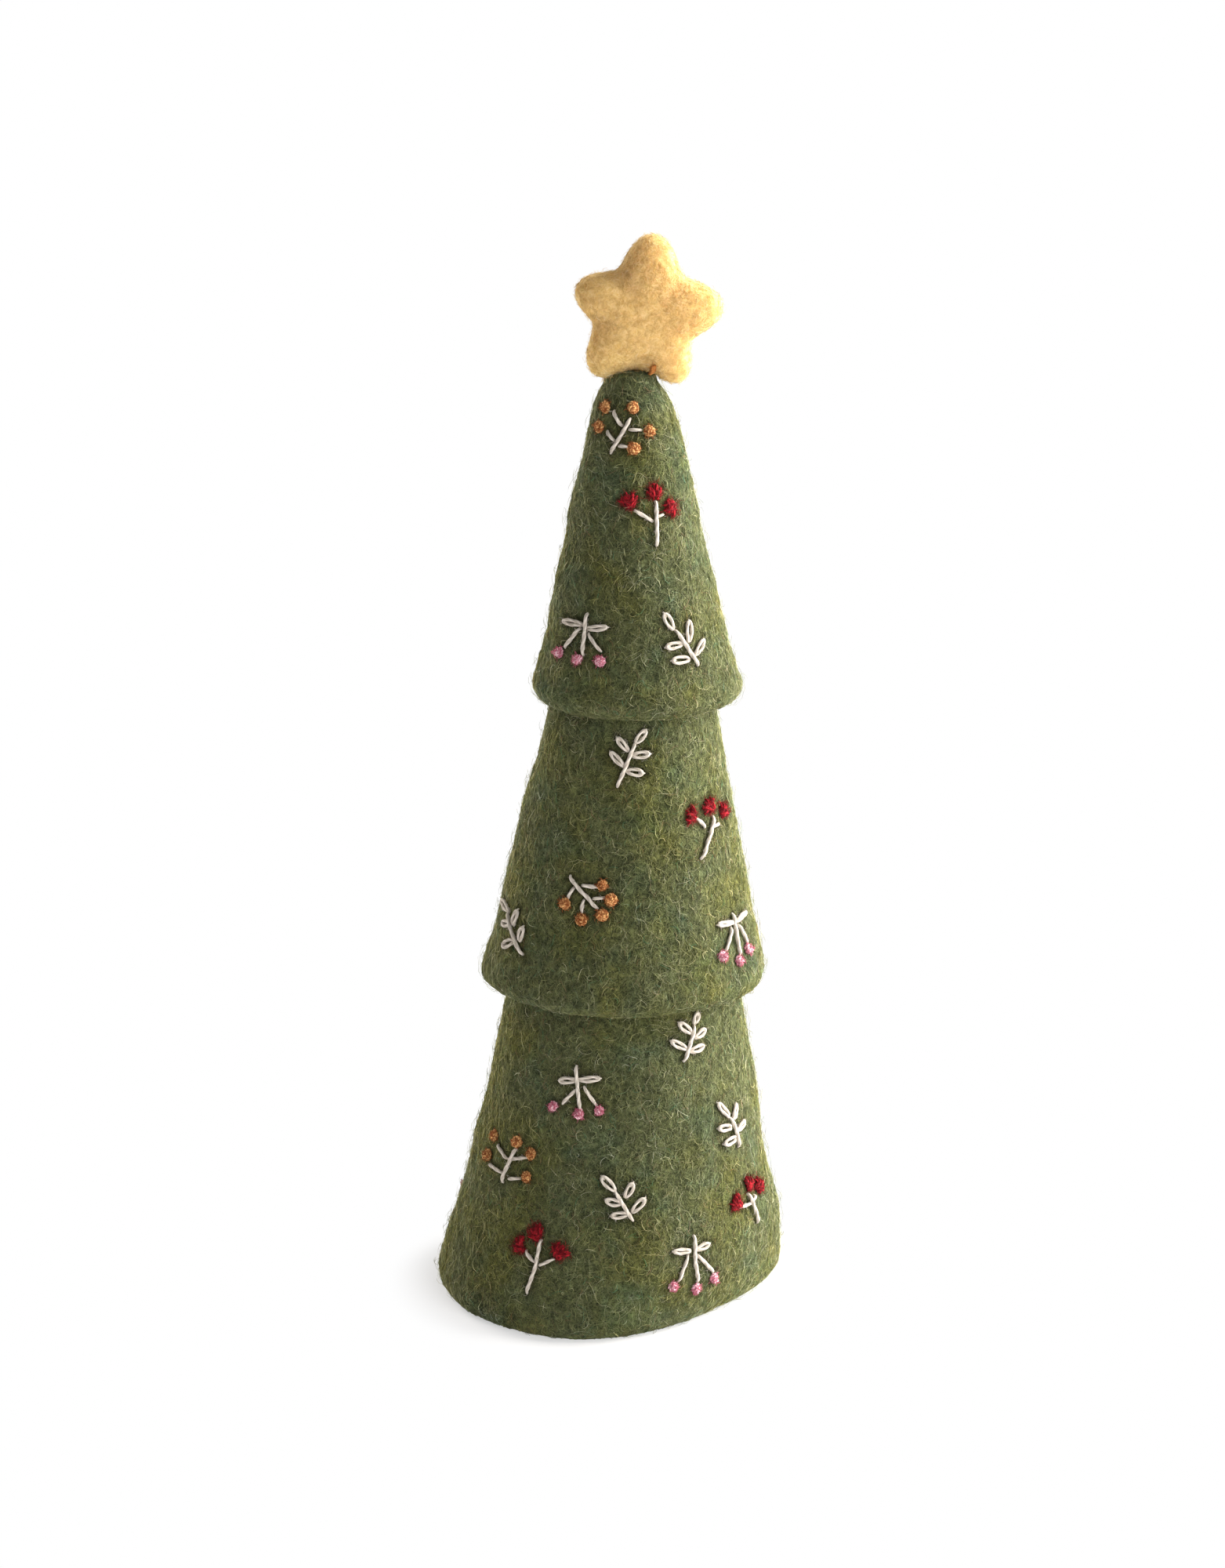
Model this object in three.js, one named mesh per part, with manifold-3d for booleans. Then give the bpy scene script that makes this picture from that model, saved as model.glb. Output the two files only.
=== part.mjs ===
// A tabletop tree of felted wool: three bell-shaped tiers stacked on one another, sprigs embroidered
// in yarn all round them, and a plump star sewn to the tip. Millimetres, +Z up, the front faces -Y,
// and the origin is the middle of the flat sole that the tree stands on.
import * as THREE from "three";
import { mergeVertices } from "three/addons/utils/BufferGeometryUtils.js";
import Module from "manifold-3d";

const wasm = await Module();
wasm.setup();

// Driving sizes of the felt body
const CLEARANCE = 0.35; // left between pieces that touch
const SLIVER = 0.003; // faces thinner than this, left where forms meet, are taken out
const WALL = 4.5; // thickness of a felt jacket
const SEAT_DEPTH = 10; // how far a tier's neck goes up into the tier above
const SOLE_THICKNESS = 4;
const SOLE_INSET = 1.2; // from the start of the hem's rounding in to the sole's edge

// Each tier: its height, widest and narrowest radius, the rounding of its hem across and up, the
// rounding of its crown, and how far its axis is off centre at the foot and at the crown.
const LOWER_HEIGHT = 109.4;
const LOWER_HEM_RADIUS = 55;
const LOWER_NECK_RADIUS = 34.2;
const LOWER_HEM_ACROSS = 3;
const LOWER_HEM_UP = 4.8;
const LOWER_CROWN_ROUND = 4;
const LOWER_FOOT_SHIFT = 0.5;
const LOWER_NECK_SHIFT = 4.3;

const MIDDLE_HEIGHT = 98.2;
const MIDDLE_HEM_RADIUS = 43.5;
const MIDDLE_NECK_RADIUS = 23.2;
const MIDDLE_HEM_ACROSS = 4.3;
const MIDDLE_HEM_UP = 4.4;
const MIDDLE_CROWN_ROUND = 4;
const MIDDLE_FOOT_SHIFT = 3.4;
const MIDDLE_NECK_SHIFT = 6.3;

const UPPER_HEIGHT = 100.3;
const UPPER_HEM_RADIUS = 31.3;
const UPPER_NECK_RADIUS = 8;
const UPPER_HEM_ACROSS = 4.9;
const UPPER_HEM_UP = 5.7;
const UPPER_CROWN_ROUND = 3.5;
const UPPER_FOOT_SHIFT = 7.4;
const UPPER_NECK_SHIFT = 5.9;

// The lower hem is pressed flatter at the front right, as hand-felted bases are.
const PRESSED_DEPTH = 13;
const PRESSED_HEIGHT = 34;
const PRESSED_TURN = 48; // degrees round from the front
const PRESSED_SPREAD = 78; // degrees to each side

// Driving sizes of the star, measured from its own middle
const STAR_TIP_REACH = 23;
const STAR_THICKNESS = 17;
const STAR_DROP = 0.2; // how far the star's notch would sink into the crown before it is hollowed
const STAR_SHIFT = 5.1; // sideways from the axis of the tip
const STAR_FULLNESS_SHARE = 0.75; // below 1 the star's faces are fuller and its edges rounder
const STAR_NOTCH = 258; // degrees anticlockwise from the right, where the star straddles the tip

// Driving sizes of the embroidery
const YARN_RADIUS = 0.8;
const BUD_YARN_WIDTH = 1.2;
const KNOT_RADIUS = 2;
const KNOT_HEIGHT = 2.2;
const KNOT_SEAT = 0.5; // from the felt up to a knot's flat foot, as the felt curves in by the hem
const LEAF_LENGTH = 6;
const LEAF_WIDTH = 3;
const BUD_LENGTH = 5;
const LEAF_SPRIG_HEIGHT = 17.6;
const BERRY_SPRIG_HEIGHT = 14;
const CHERRY_SPRIG_HEIGHT = 15;
const BUD_SPRIG_HEIGHT = 17;
const BUD_FAN = 34; // degrees between two stitches of a bud
const FLAT_YARN_HEIGHT = 1.2; // how far the pulled-flat yarn of leaves and buds stands up
const CARRIED_RADIUS = 0.4; // the yarn that runs on from each knot to the next

// Facets
const ROUND_STEPS = 30;
const HEM_STEPS = 3;
const SIDE_STEPS = 7;
const CROWN_STEPS = 2;
const YARN_SIDES = 4;
const CARRIED_SIDES = 3;
const KNOT_SIDES = 6;
const STAR_STEPS_ROUND = 40;
const STAR_STEPS_THROUGH = 8;
const WELD_SHARE = 1e-5; // corners nearer than this share of a piece's size are one corner
const SLOPE_SHARE = 0.01; // share of a tier's height over which its slope at a point is read

const FELT_GREEN = "#4f5f33";
const STAR_GOLD = "#e3b862";
const IVORY = "#ede6dc";
const BERRY_ORANGE = "#d98a45";
const CHERRY_PINK = "#d8899a";
const BUD_RED = "#b2202f";
const TACK_BROWN = "#a5562a";
const FILLING_WHITE = "#dcd8cc";
const FELT_ROUGHNESS = 0.95;
const YARN_ROUGHNESS = 0.85;
const FULL_TURN = 360;

const part = new THREE.Group();

// Hands a closed mesh to the solid library with its shared corners merged.
function solidOf(geometry) {
  const plain = geometry.index ? geometry.toNonIndexed() : geometry.clone();
  plain.deleteAttribute("normal");
  plain.deleteAttribute("uv");
  plain.computeBoundingSphere();
  const merged = mergeVertices(plain, plain.boundingSphere.radius * WELD_SHARE);
  return new wasm.Manifold(new wasm.Mesh({
    numProp: 3,
    vertProperties: merged.attributes.position.array,
    triVerts: new Uint32Array(merged.index.array),
  }));
}

function geometryOf(solid) {
  const mesh = solid.getMesh();
  const geometry = new THREE.BufferGeometry();
  geometry.setAttribute("position", new THREE.BufferAttribute(mesh.vertProperties.slice(), mesh.numProp));
  geometry.setIndex(new THREE.BufferAttribute(mesh.triVerts.slice(), 1));
  geometry.computeVertexNormals();
  return geometry;
}

function addPiece(name, solid, color, roughness) {
  const material = new THREE.MeshStandardMaterial({ color, roughness, metalness: 0, flatShading: true });
  const mesh = new THREE.Mesh(geometryOf(solid.simplify(SLIVER)), material);
  mesh.name = name;
  part.add(mesh);
}

function joined(solids) {
  return solids.reduce((whole, piece) => whole.add(piece));
}

// Felt tiers. The side of each is a spline through a few heights and radii, given as shares of the
// way from the hem to the crown and from the neck's radius to the hem's.
const tiers = {
  lower: {
    foot: 0,
    height: LOWER_HEIGHT,
    hemRadius: LOWER_HEM_RADIUS,
    neckRadius: LOWER_NECK_RADIUS,
    hemAcross: LOWER_HEM_ACROSS,
    hemUp: LOWER_HEM_UP,
    crownRound: LOWER_CROWN_ROUND,
    footShift: LOWER_FOOT_SHIFT,
    neckShift: LOWER_NECK_SHIFT,
    pressedDepth: PRESSED_DEPTH,
    sideShares: [[0.19, 0.770], [0.437, 0.492], [0.725, 0.236]],
  },
  middle: {
    foot: LOWER_HEIGHT - SEAT_DEPTH,
    height: MIDDLE_HEIGHT,
    hemRadius: MIDDLE_HEM_RADIUS,
    neckRadius: MIDDLE_NECK_RADIUS,
    hemAcross: MIDDLE_HEM_ACROSS,
    hemUp: MIDDLE_HEM_UP,
    crownRound: MIDDLE_CROWN_ROUND,
    footShift: MIDDLE_FOOT_SHIFT,
    neckShift: MIDDLE_NECK_SHIFT,
    pressedDepth: 0,
    sideShares: [[0.2, 0.769], [0.47, 0.512], [0.73, 0.261]],
  },
  upper: {
    foot: LOWER_HEIGHT + MIDDLE_HEIGHT - 2 * SEAT_DEPTH,
    height: UPPER_HEIGHT,
    hemRadius: UPPER_HEM_RADIUS,
    neckRadius: UPPER_NECK_RADIUS,
    hemAcross: UPPER_HEM_ACROSS,
    hemUp: UPPER_HEM_UP,
    crownRound: UPPER_CROWN_ROUND,
    footShift: UPPER_FOOT_SHIFT,
    neckShift: UPPER_NECK_SHIFT,
    pressedDepth: 0,
    sideShares: [[0.2, 0.797], [0.44, 0.584], [0.68, 0.393], [0.9, 0.172]],
  },
};

// The tier's outline from the underside of its hem to the top of its crown.
function tierOutline(tier) {
  const points = [];
  for (let i = 0; i <= HEM_STEPS; i++) {
    const turn = (i / HEM_STEPS - 1) * Math.PI / 2;
    points.push(new THREE.Vector2(
      tier.hemRadius - tier.hemAcross + tier.hemAcross * Math.cos(turn),
      tier.foot + tier.hemUp + tier.hemUp * Math.sin(turn),
    ));
  }
  const start = tier.foot + tier.hemUp;
  const end = tier.foot + tier.height - tier.crownRound;
  const side = [new THREE.Vector2(tier.hemRadius, start)];
  for (const [upShare, outShare] of tier.sideShares) {
    side.push(new THREE.Vector2(
      tier.neckRadius + (tier.hemRadius - tier.neckRadius) * outShare,
      start + (end - start) * upShare,
    ));
  }
  side.push(new THREE.Vector2(tier.neckRadius, end));
  points.push(...new THREE.SplineCurve(side).getPoints(SIDE_STEPS).slice(1));
  for (let i = 1; i <= CROWN_STEPS; i++) {
    const turn = i / CROWN_STEPS * Math.PI / 2;
    points.push(new THREE.Vector2(
      tier.neckRadius - tier.crownRound + tier.crownRound * Math.cos(turn),
      end + tier.crownRound * Math.sin(turn),
    ));
  }
  return points;
}

for (const tier of Object.values(tiers)) {
  tier.outline = tierOutline(tier);
  tier.top = tier.foot + tier.height;
}

function radiusAt(tier, z) {
  const above = tier.outline.findIndex((point) => point.y >= z);
  if (above < 0) return tier.outline.at(-1).x;
  if (above === 0) return tier.outline[0].x;
  const [a, b] = [tier.outline[above - 1], tier.outline[above]];
  return THREE.MathUtils.mapLinear(z, a.y, b.y, a.x, b.x);
}

// Carries a point of the straight, round tier on to the real one, whose axis drifts sideways and
// whose hem may be pressed in at one place.
function settle(point, tier) {
  const turn = THREE.MathUtils.radToDeg(Math.atan2(point.x, -point.y));
  const off = Math.min(Math.abs(turn - PRESSED_TURN) / PRESSED_SPREAD, 1);
  const up = THREE.MathUtils.clamp((point.z - tier.foot) / PRESSED_HEIGHT, 0, 1);
  const pressed = Math.cos(off * Math.PI / 2) ** 2 * (1 - up) ** 2 * tier.pressedDepth / tier.hemRadius;
  const rise = THREE.MathUtils.clamp((point.z - tier.foot) / tier.height, 0, 1);
  point.x = point.x * (1 - pressed) + THREE.MathUtils.lerp(tier.footShift, tier.neckShift, rise);
  point.y *= 1 - pressed;
  return point;
}

// Turns a profile from axis to axis about +Z and settles it on its tier.
function turned(profile, tier) {
  const geometry = new THREE.LatheGeometry(profile, ROUND_STEPS).rotateX(Math.PI / 2);
  const position = geometry.attributes.position;
  const point = new THREE.Vector3();
  for (let i = 0; i < position.count; i++) {
    settle(point.fromBufferAttribute(position, i), tier);
    position.setXYZ(i, point.x, point.y, point.z);
  }
  return solidOf(geometry);
}

// The whole outer form of a tier, grown by a clearance where another piece is hollowed to fit it.
function outerForm(tier, grown) {
  const outline = tier.outline;
  const profile = outline.map((point, i) => {
    const before = outline[Math.max(i - 1, 0)];
    const after = outline[Math.min(i + 1, outline.length - 1)];
    const along = after.clone().sub(before).normalize();
    return new THREE.Vector2(point.x + along.y * grown, point.y - along.x * grown);
  });
  profile.unshift(new THREE.Vector2(0, profile[0].y));
  profile.push(new THREE.Vector2(0, profile.at(-1).y));
  return turned(profile, tier);
}

// What fills a tier from a flat foot up, a given thickness inside its outer form.
function innerForm(tier, foot, inset) {
  const top = tier.top - inset;
  const start = tier.foot + tier.hemUp;
  const bends = tier.sideShares.map(([upShare]) => THREE.MathUtils.lerp(start, tier.top, upShare));
  const heights = [foot, ...bends.filter((z) => z > foot && z < top), top];
  const profile = heights.map((z) => new THREE.Vector2(radiusAt(tier, z) - inset, z));
  profile.unshift(new THREE.Vector2(0, foot));
  profile.push(new THREE.Vector2(0, top));
  return turned(profile, tier);
}

function disc(tier, radius, foot, top) {
  const profile = [[0, foot], [radius, foot], [radius, top], [0, top]];
  return turned(profile.map(([across, up]) => new THREE.Vector2(across, up)), tier);
}

// Places on the felt. A point of a sprig is given across and up from the sprig's own middle.
function feltPoint(tier, turn, z, lift) {
  const step = tier.height * SLOPE_SHARE;
  const slope = new THREE.Vector2(radiusAt(tier, z + step) - radiusAt(tier, z - step), 2 * step).normalize();
  const radius = radiusAt(tier, z) + slope.y * lift;
  const point = new THREE.Vector3(radius * Math.sin(turn), -radius * Math.cos(turn), z - slope.x * lift);
  return settle(point, tier);
}

function sprigPoint(place, across, up, lift) {
  const lean = THREE.MathUtils.degToRad(place.lean);
  const right = across * Math.cos(lean) + up * Math.sin(lean);
  const rise = up * Math.cos(lean) - across * Math.sin(lean);
  const z = place.tier.foot + place.tier.height * place.upShare + rise;
  const turn = THREE.MathUtils.degToRad(place.turn) + right / radiusAt(place.tier, z);
  return feltPoint(place.tier, turn, z, lift);
}

// A length of yarn along a curve, as one tube with flat ends.
function yarn(points, radius, sides, steps) {
  const section = new THREE.Shape();
  for (let i = 0; i < sides; i++) {
    const turn = i / sides * 2 * Math.PI;
    const corner = [radius * Math.cos(turn), radius * Math.sin(turn)];
    if (i === 0) section.moveTo(...corner);
    else section.lineTo(...corner);
  }
  section.closePath();
  const extrudePath = new THREE.CatmullRomCurve3(points);
  return solidOf(new THREE.ExtrudeGeometry(section, { steps, extrudePath, bevelEnabled: false }));
}

// One straight stitch lying on the felt, bowed with it where it is long.
function stitch(place, from, to, lift, radius, sides) {
  const length = Math.hypot(to[0] - from[0], to[1] - from[1]);
  const steps = length > LEAF_LENGTH ? 2 : 1;
  const points = [];
  for (let i = 0; i <= steps; i++) {
    const along = i / steps;
    const across = THREE.MathUtils.lerp(from[0], to[0], along);
    const up = THREE.MathUtils.lerp(from[1], to[1], along);
    points.push(sprigPoint(place, across, up, lift));
  }
  return yarn(points, radius, sides, steps);
}

// A flat form laid on the felt: an outline with or without an eye, turned to its direction at its
// root, given a height and bent round the tier.
function laidForm(place, root, direction, outline, eye) {
  const shape = new THREE.Shape(outline.map(([across, along]) => new THREE.Vector2(across, along)));
  if (eye) shape.holes.push(new THREE.Path(eye.map(([across, along]) => new THREE.Vector2(across, along))));
  const geometry = new THREE.ExtrudeGeometry(shape, { depth: FLAT_YARN_HEIGHT, bevelEnabled: false });
  geometry.rotateZ(-THREE.MathUtils.degToRad(direction)).translate(...root, CLEARANCE);
  const position = geometry.attributes.position;
  for (let i = 0; i < position.count; i++) {
    const point = sprigPoint(place, position.getX(i), position.getY(i), position.getZ(i));
    position.setXYZ(i, point.x, point.y, point.z);
  }
  return solidOf(geometry);
}

// A chain stitch pulled into a leaf: a loop of yarn with a slim eye.
const LEAF_OUTLINE_SHARES = [[0, 0], [0.5, 0.45], [0.24, 1], [-0.24, 1], [-0.5, 0.45]];
const LEAF_EYE_SHARES = [[0, 0.28], [0.16, 0.6], [0, 0.8], [-0.16, 0.6]];

function leaf(place, root, direction) {
  const sized = (pairs) => pairs.map(([across, along]) => [across * LEAF_WIDTH, along * LEAF_LENGTH]);
  return laidForm(place, root, direction, sized(LEAF_OUTLINE_SHARES), sized(LEAF_EYE_SHARES));
}

// A French knot: yarn wound into a bun with a dimple where the needle went down.
function knot(place, middle) {
  const knotShares = [[0, 0], [0.85, 0], [1, 0.5], [0.6, 1], [0, 0.8]];
  const profile = knotShares.map(([out, up]) => new THREE.Vector2(out * KNOT_RADIUS, up * KNOT_HEIGHT));
  const foot = sprigPoint(place, ...middle, KNOT_SEAT);
  const outward = sprigPoint(place, ...middle, KNOT_SEAT + KNOT_HEIGHT).sub(foot).normalize();
  const facing = new THREE.Quaternion().setFromUnitVectors(new THREE.Vector3(0, 1, 0), outward);
  const geometry = new THREE.LatheGeometry(profile, KNOT_SIDES).applyQuaternion(facing);
  return solidOf(geometry.translate(foot.x, foot.y, foot.z));
}

// A flower bud: three short stitches fanned out from one root, with a notch between each two.
function bud(place, root, direction) {
  const spread = THREE.MathUtils.degToRad(BUD_FAN);
  const half = BUD_YARN_WIDTH / 2;
  const outline = [[half, 0]];
  for (const turn of [spread, 0, -spread]) {
    const tip = [BUD_LENGTH * Math.sin(turn), BUD_LENGTH * Math.cos(turn)];
    for (const side of [half, -half]) {
      outline.push([tip[0] + side * Math.cos(turn), tip[1] - side * Math.sin(turn)]);
    }
    const notch = turn - spread / 2;
    if (turn > -spread) outline.push([BUD_LENGTH / 2 * Math.sin(notch), BUD_LENGTH / 2 * Math.cos(notch)]);
  }
  outline.push([-half, 0]);
  return laidForm(place, root, direction, outline);
}

// The yarn carried on from each knot or bud to the next. The real felt closes over it.
function carried(place, stops) {
  const lift = CLEARANCE + FLAT_YARN_HEIGHT / 2;
  return stops.slice(1).map((stop, i) => stitch(place, stops[i], stop, lift, CARRIED_RADIUS, CARRIED_SIDES));
}

// The four kinds of sprig. Each table holds shares of that sprig's height, across and up from the
// sprig's foot. A sprig is an ivory part and, on three kinds, a coloured part of its own yarn.
const LEAF_STEM_SHARES = [[0, 0], [0, 0.64]];
const LEAF_ROOT_SHARES = [[0, 0.62], [0.01, 0.42], [0.01, 0.15], [-0.01, 0.37], [-0.01, 0.11]];
const LEAF_DIRECTIONS = [-8, 58, 72, -52, -66];

const BERRY_STITCH_SHARES = [
  [[0, 0], [0, 0.83]],
  [[0, 0.5], [-0.42, 0.76]],
  [[0, 0.2], [-0.42, 0.3]],
  [[0, 0.58], [0.25, 0.71]],
  [[0, 0.08], [0.31, 0.22]],
];
const BERRY_KNOT_SHARES = [[-0.55, 0.46], [-0.56, 0.95], [-0.03, 1.06], [0.44, 0.84], [0.52, 0.31]];

const CHERRY_STITCH_SHARES = [
  [[0, 0.12], [0, 1]],
  [[-0.02, 0.54], [-0.36, 0.2]],
  [[0.03, 0.5], [0.37, 0.16]],
];
const CHERRY_LEAF_ROOT_SHARES = [[0.02, 0.67], [-0.02, 0.69]];
const CHERRY_LEAF_DIRECTIONS = [-92, 86];
const CHERRY_KNOT_SHARES = [[-0.52, 0.06], [0, -0.1], [0.48, -0.02]];

const BUD_STITCH_SHARES = [
  [[0, 0], [0, 0.76]],
  [[0, 0.46], [-0.2, 0.56]],
  [[0, 0.43], [0.25, 0.58]],
];
const BUD_ROOT_SHARES = [[-0.27, 0.61], [-0.03, 0.85], [0.32, 0.66]];
const BUD_DIRECTIONS = [-30, -4, 36];

const kinds = {
  leaf_sprig: {
    height: LEAF_SPRIG_HEIGHT,
    stitches: [LEAF_STEM_SHARES],
    leafRoots: LEAF_ROOT_SHARES,
    leafDirections: LEAF_DIRECTIONS,
  },
  berry_sprig: {
    height: BERRY_SPRIG_HEIGHT,
    stitches: BERRY_STITCH_SHARES,
    knots: BERRY_KNOT_SHARES,
    tipName: "berries",
    tipColor: BERRY_ORANGE,
  },
  cherry_sprig: {
    height: CHERRY_SPRIG_HEIGHT,
    stitches: CHERRY_STITCH_SHARES,
    leafRoots: CHERRY_LEAF_ROOT_SHARES,
    leafDirections: CHERRY_LEAF_DIRECTIONS,
    knots: CHERRY_KNOT_SHARES,
    tipName: "cherries",
    tipColor: CHERRY_PINK,
  },
  bud_sprig: {
    height: BUD_SPRIG_HEIGHT,
    stitches: BUD_STITCH_SHARES,
    budRoots: BUD_ROOT_SHARES,
    budDirections: BUD_DIRECTIONS,
    tipName: "buds",
    tipColor: BUD_RED,
  },
};

// Where each sprig's middle sits: degrees round from the front, share of the tier's height, and
// degrees of lean to the right. Those between -61 and 61 degrees are the ones seen from the front.
const SPRIG_PLACE_SHARES = {
  lower: [
    ["leaf_sprig", 33.8, 0.835, 24],
    ["leaf_sprig", 52.3, 0.56, -16],
    ["leaf_sprig", -0.6, 0.408, -33],
    ["berry_sprig", -48, 0.453, 16],
    ["bud_sprig", 60.3, 0.309, -27],
    ["bud_sprig", -29.5, 0.197, 8],
    ["cherry_sprig", -19.8, 0.688, -11],
    ["cherry_sprig", 30.4, 0.189, -8],
    ["leaf_sprig", 108, 0.56, 20],
    ["berry_sprig", 158, 0.3, -20],
    ["bud_sprig", 206, 0.62, 8],
    ["cherry_sprig", 247, 0.3, -5],
  ],
  middle: [
    ["leaf_sprig", -1.5, 0.779, 21],
    ["leaf_sprig", -59.8, 0.21, -43],
    ["berry_sprig", -21.4, 0.373, 131],
    ["bud_sprig", 48.2, 0.533, 32],
    ["cherry_sprig", 57.4, 0.194, 3],
    ["bud_sprig", 128, 0.36, -14],
    ["leaf_sprig", 216, 0.44, 24],
  ],
  upper: [
    ["leaf_sprig", 30.7, 0.235, -29],
    ["berry_sprig", -12.3, 0.846, 29],
    ["bud_sprig", 20.2, 0.602, 4],
    ["cherry_sprig", -35, 0.248, -1],
    ["cherry_sprig", 168, 0.36, -6],
  ],
};

// Makes one sprig: its ivory stitches and leaves, and then what is worked in its coloured yarn.
function addSprig(name, kind, place) {
  const middle = kind.height / 2;
  const sized = (pairs) => pairs.map(([across, up]) => [across * kind.height, up * kind.height - middle]);
  const lift = YARN_RADIUS + CLEARANCE;
  const stems = kind.stitches.map((ends) => stitch(place, ...sized(ends), lift, YARN_RADIUS, YARN_SIDES));
  const leaves = sized(kind.leafRoots ?? []).map((root, i) => leaf(place, root, kind.leafDirections[i]));
  addPiece(name, joined([...stems, ...leaves]), IVORY, YARN_ROUGHNESS);
  if (!kind.tipName) return;

  const stops = sized(kind.knots ?? kind.budRoots);
  const tips = kind.knots
    ? stops.map((stop) => knot(place, stop))
    : stops.map((stop, i) => bud(place, stop, kind.budDirections[i]));
  const tipPiece = joined([...tips, ...carried(place, stops)]);
  addPiece(name + "_" + kind.tipName, tipPiece, kind.tipColor, YARN_ROUGHNESS);
}

function addSprigs(tierName) {
  const counts = {};
  for (const [kindName, turn, upShare, lean] of SPRIG_PLACE_SHARES[tierName]) {
    counts[kindName] = (counts[kindName] ?? 0) + 1;
    const name = [tierName, kindName, counts[kindName]].join("_");
    addSprig(name, kinds[kindName], { tier: tiers[tierName], turn, upShare, lean });
  }
}

// A jacket is the tier's outer form, hollow for its filling and for the neck or sole it sits on.
function addTier(tierName, seat, floor) {
  const tier = tiers[tierName];
  const hollow = innerForm(tier, floor, WALL - CLEARANCE).add(seat);
  addPiece(tierName + "_felt_tier", outerForm(tier, 0).subtract(hollow), FELT_GREEN, FELT_ROUGHNESS);
  const filling = innerForm(tier, floor + CLEARANCE, WALL);
  addPiece(tierName + "_filling", filling, FILLING_WHITE, FELT_ROUGHNESS);
  addSprigs(tierName);
}

const soleRadius = LOWER_HEM_RADIUS - LOWER_HEM_ACROSS - SOLE_INSET;
const soleHollow = disc(tiers.lower, soleRadius + CLEARANCE, -CLEARANCE, SOLE_THICKNESS + CLEARANCE);
addPiece("felt_sole", disc(tiers.lower, soleRadius, 0, SOLE_THICKNESS), FELT_GREEN, FELT_ROUGHNESS);
addTier("lower", soleHollow, SOLE_THICKNESS);
addTier("middle", outerForm(tiers.lower, CLEARANCE), tiers.lower.top);
addTier("upper", outerForm(tiers.middle, CLEARANCE), tiers.middle.top);

// The star. Its outline swings smoothly between five blunt points and five hollows, in degrees
// anticlockwise from the right as seen from the front and in shares of the reach of a point.
const STAR_OUTLINE_SHARES = [
  [5, 0.93], [48, 0.643], [87, 0.993], [127, 0.688], [162, 1.003], [191, 0.75],
  [227, 1.06], [STAR_NOTCH, 0.765], [268, 0.765], [294, 0.965], [328, 0.652],
];

function starReach(direction) {
  const degrees = (THREE.MathUtils.radToDeg(direction) + FULL_TURN) % FULL_TURN;
  const count = STAR_OUTLINE_SHARES.length;
  for (let i = 0; i < count; i++) {
    const [fromTurn, fromShare] = STAR_OUTLINE_SHARES[i];
    const [nextTurn, toShare] = STAR_OUTLINE_SHARES[(i + 1) % count];
    const toTurn = i + 1 < count ? nextTurn : nextTurn + FULL_TURN;
    const here = degrees < fromTurn && i + 1 === count ? degrees + FULL_TURN : degrees;
    if (here < fromTurn || here > toTurn) continue;
    const along = (1 - Math.cos(Math.PI * (here - fromTurn) / (toTurn - fromTurn))) / 2;
    return STAR_TIP_REACH * THREE.MathUtils.lerp(fromShare, toShare, along);
  }
  return STAR_TIP_REACH;
}

// A ball drawn out to the star's outline, with plump faces and full, round edges.
function starForm(middle) {
  const geometry = new THREE.SphereGeometry(1, STAR_STEPS_ROUND, STAR_STEPS_THROUGH);
  const position = geometry.attributes.position;
  for (let i = 0; i < position.count; i++) {
    const out = Math.hypot(position.getX(i), position.getZ(i));
    const direction = Math.atan2(position.getZ(i), position.getX(i));
    const through = position.getY(i);
    const reach = starReach(direction) * out ** STAR_FULLNESS_SHARE;
    const deep = STAR_THICKNESS / 2 * Math.sign(through) * Math.abs(through) ** STAR_FULLNESS_SHARE;
    position.setXYZ(i, reach * Math.cos(direction), deep, reach * Math.sin(direction));
  }
  return solidOf(geometry.translate(middle.x, middle.y, middle.z));
}

const notchDirection = THREE.MathUtils.degToRad(STAR_NOTCH);
const starMiddle = new THREE.Vector3(
  UPPER_NECK_SHIFT + STAR_SHIFT,
  0,
  tiers.upper.top - STAR_DROP - starReach(notchDirection) * Math.sin(notchDirection),
);
const star = starForm(starMiddle).subtract(outerForm(tiers.upper, CLEARANCE));
addPiece("felt_star", star, STAR_GOLD, FELT_ROUGHNESS);

// One bar of yarn that tacks the star's right leg to the front of the crown.
const TACK_RADIUS = 0.7;
const TACK_TURN = 44;
const TACK_RISE = 4.5;
const TACK_FORWARD = 1.6; // how much further forward its top end lies than its foot
const TACK_BELOW = 3.2; // below the top of the crown
const tackTurn = THREE.MathUtils.degToRad(TACK_TURN);
const tackLift = TACK_RADIUS + CLEARANCE;
const tackFoot = feltPoint(tiers.upper, tackTurn, tiers.upper.top - TACK_BELOW, tackLift);
const tackTop = tackFoot.clone().add(new THREE.Vector3(TACK_RADIUS, -TACK_FORWARD, TACK_RISE));
const tack = yarn([tackFoot, tackTop], TACK_RADIUS, YARN_SIDES, 1);
addPiece("star_tack_stitch", tack, TACK_BROWN, YARN_ROUGHNESS);

export default part;
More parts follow.
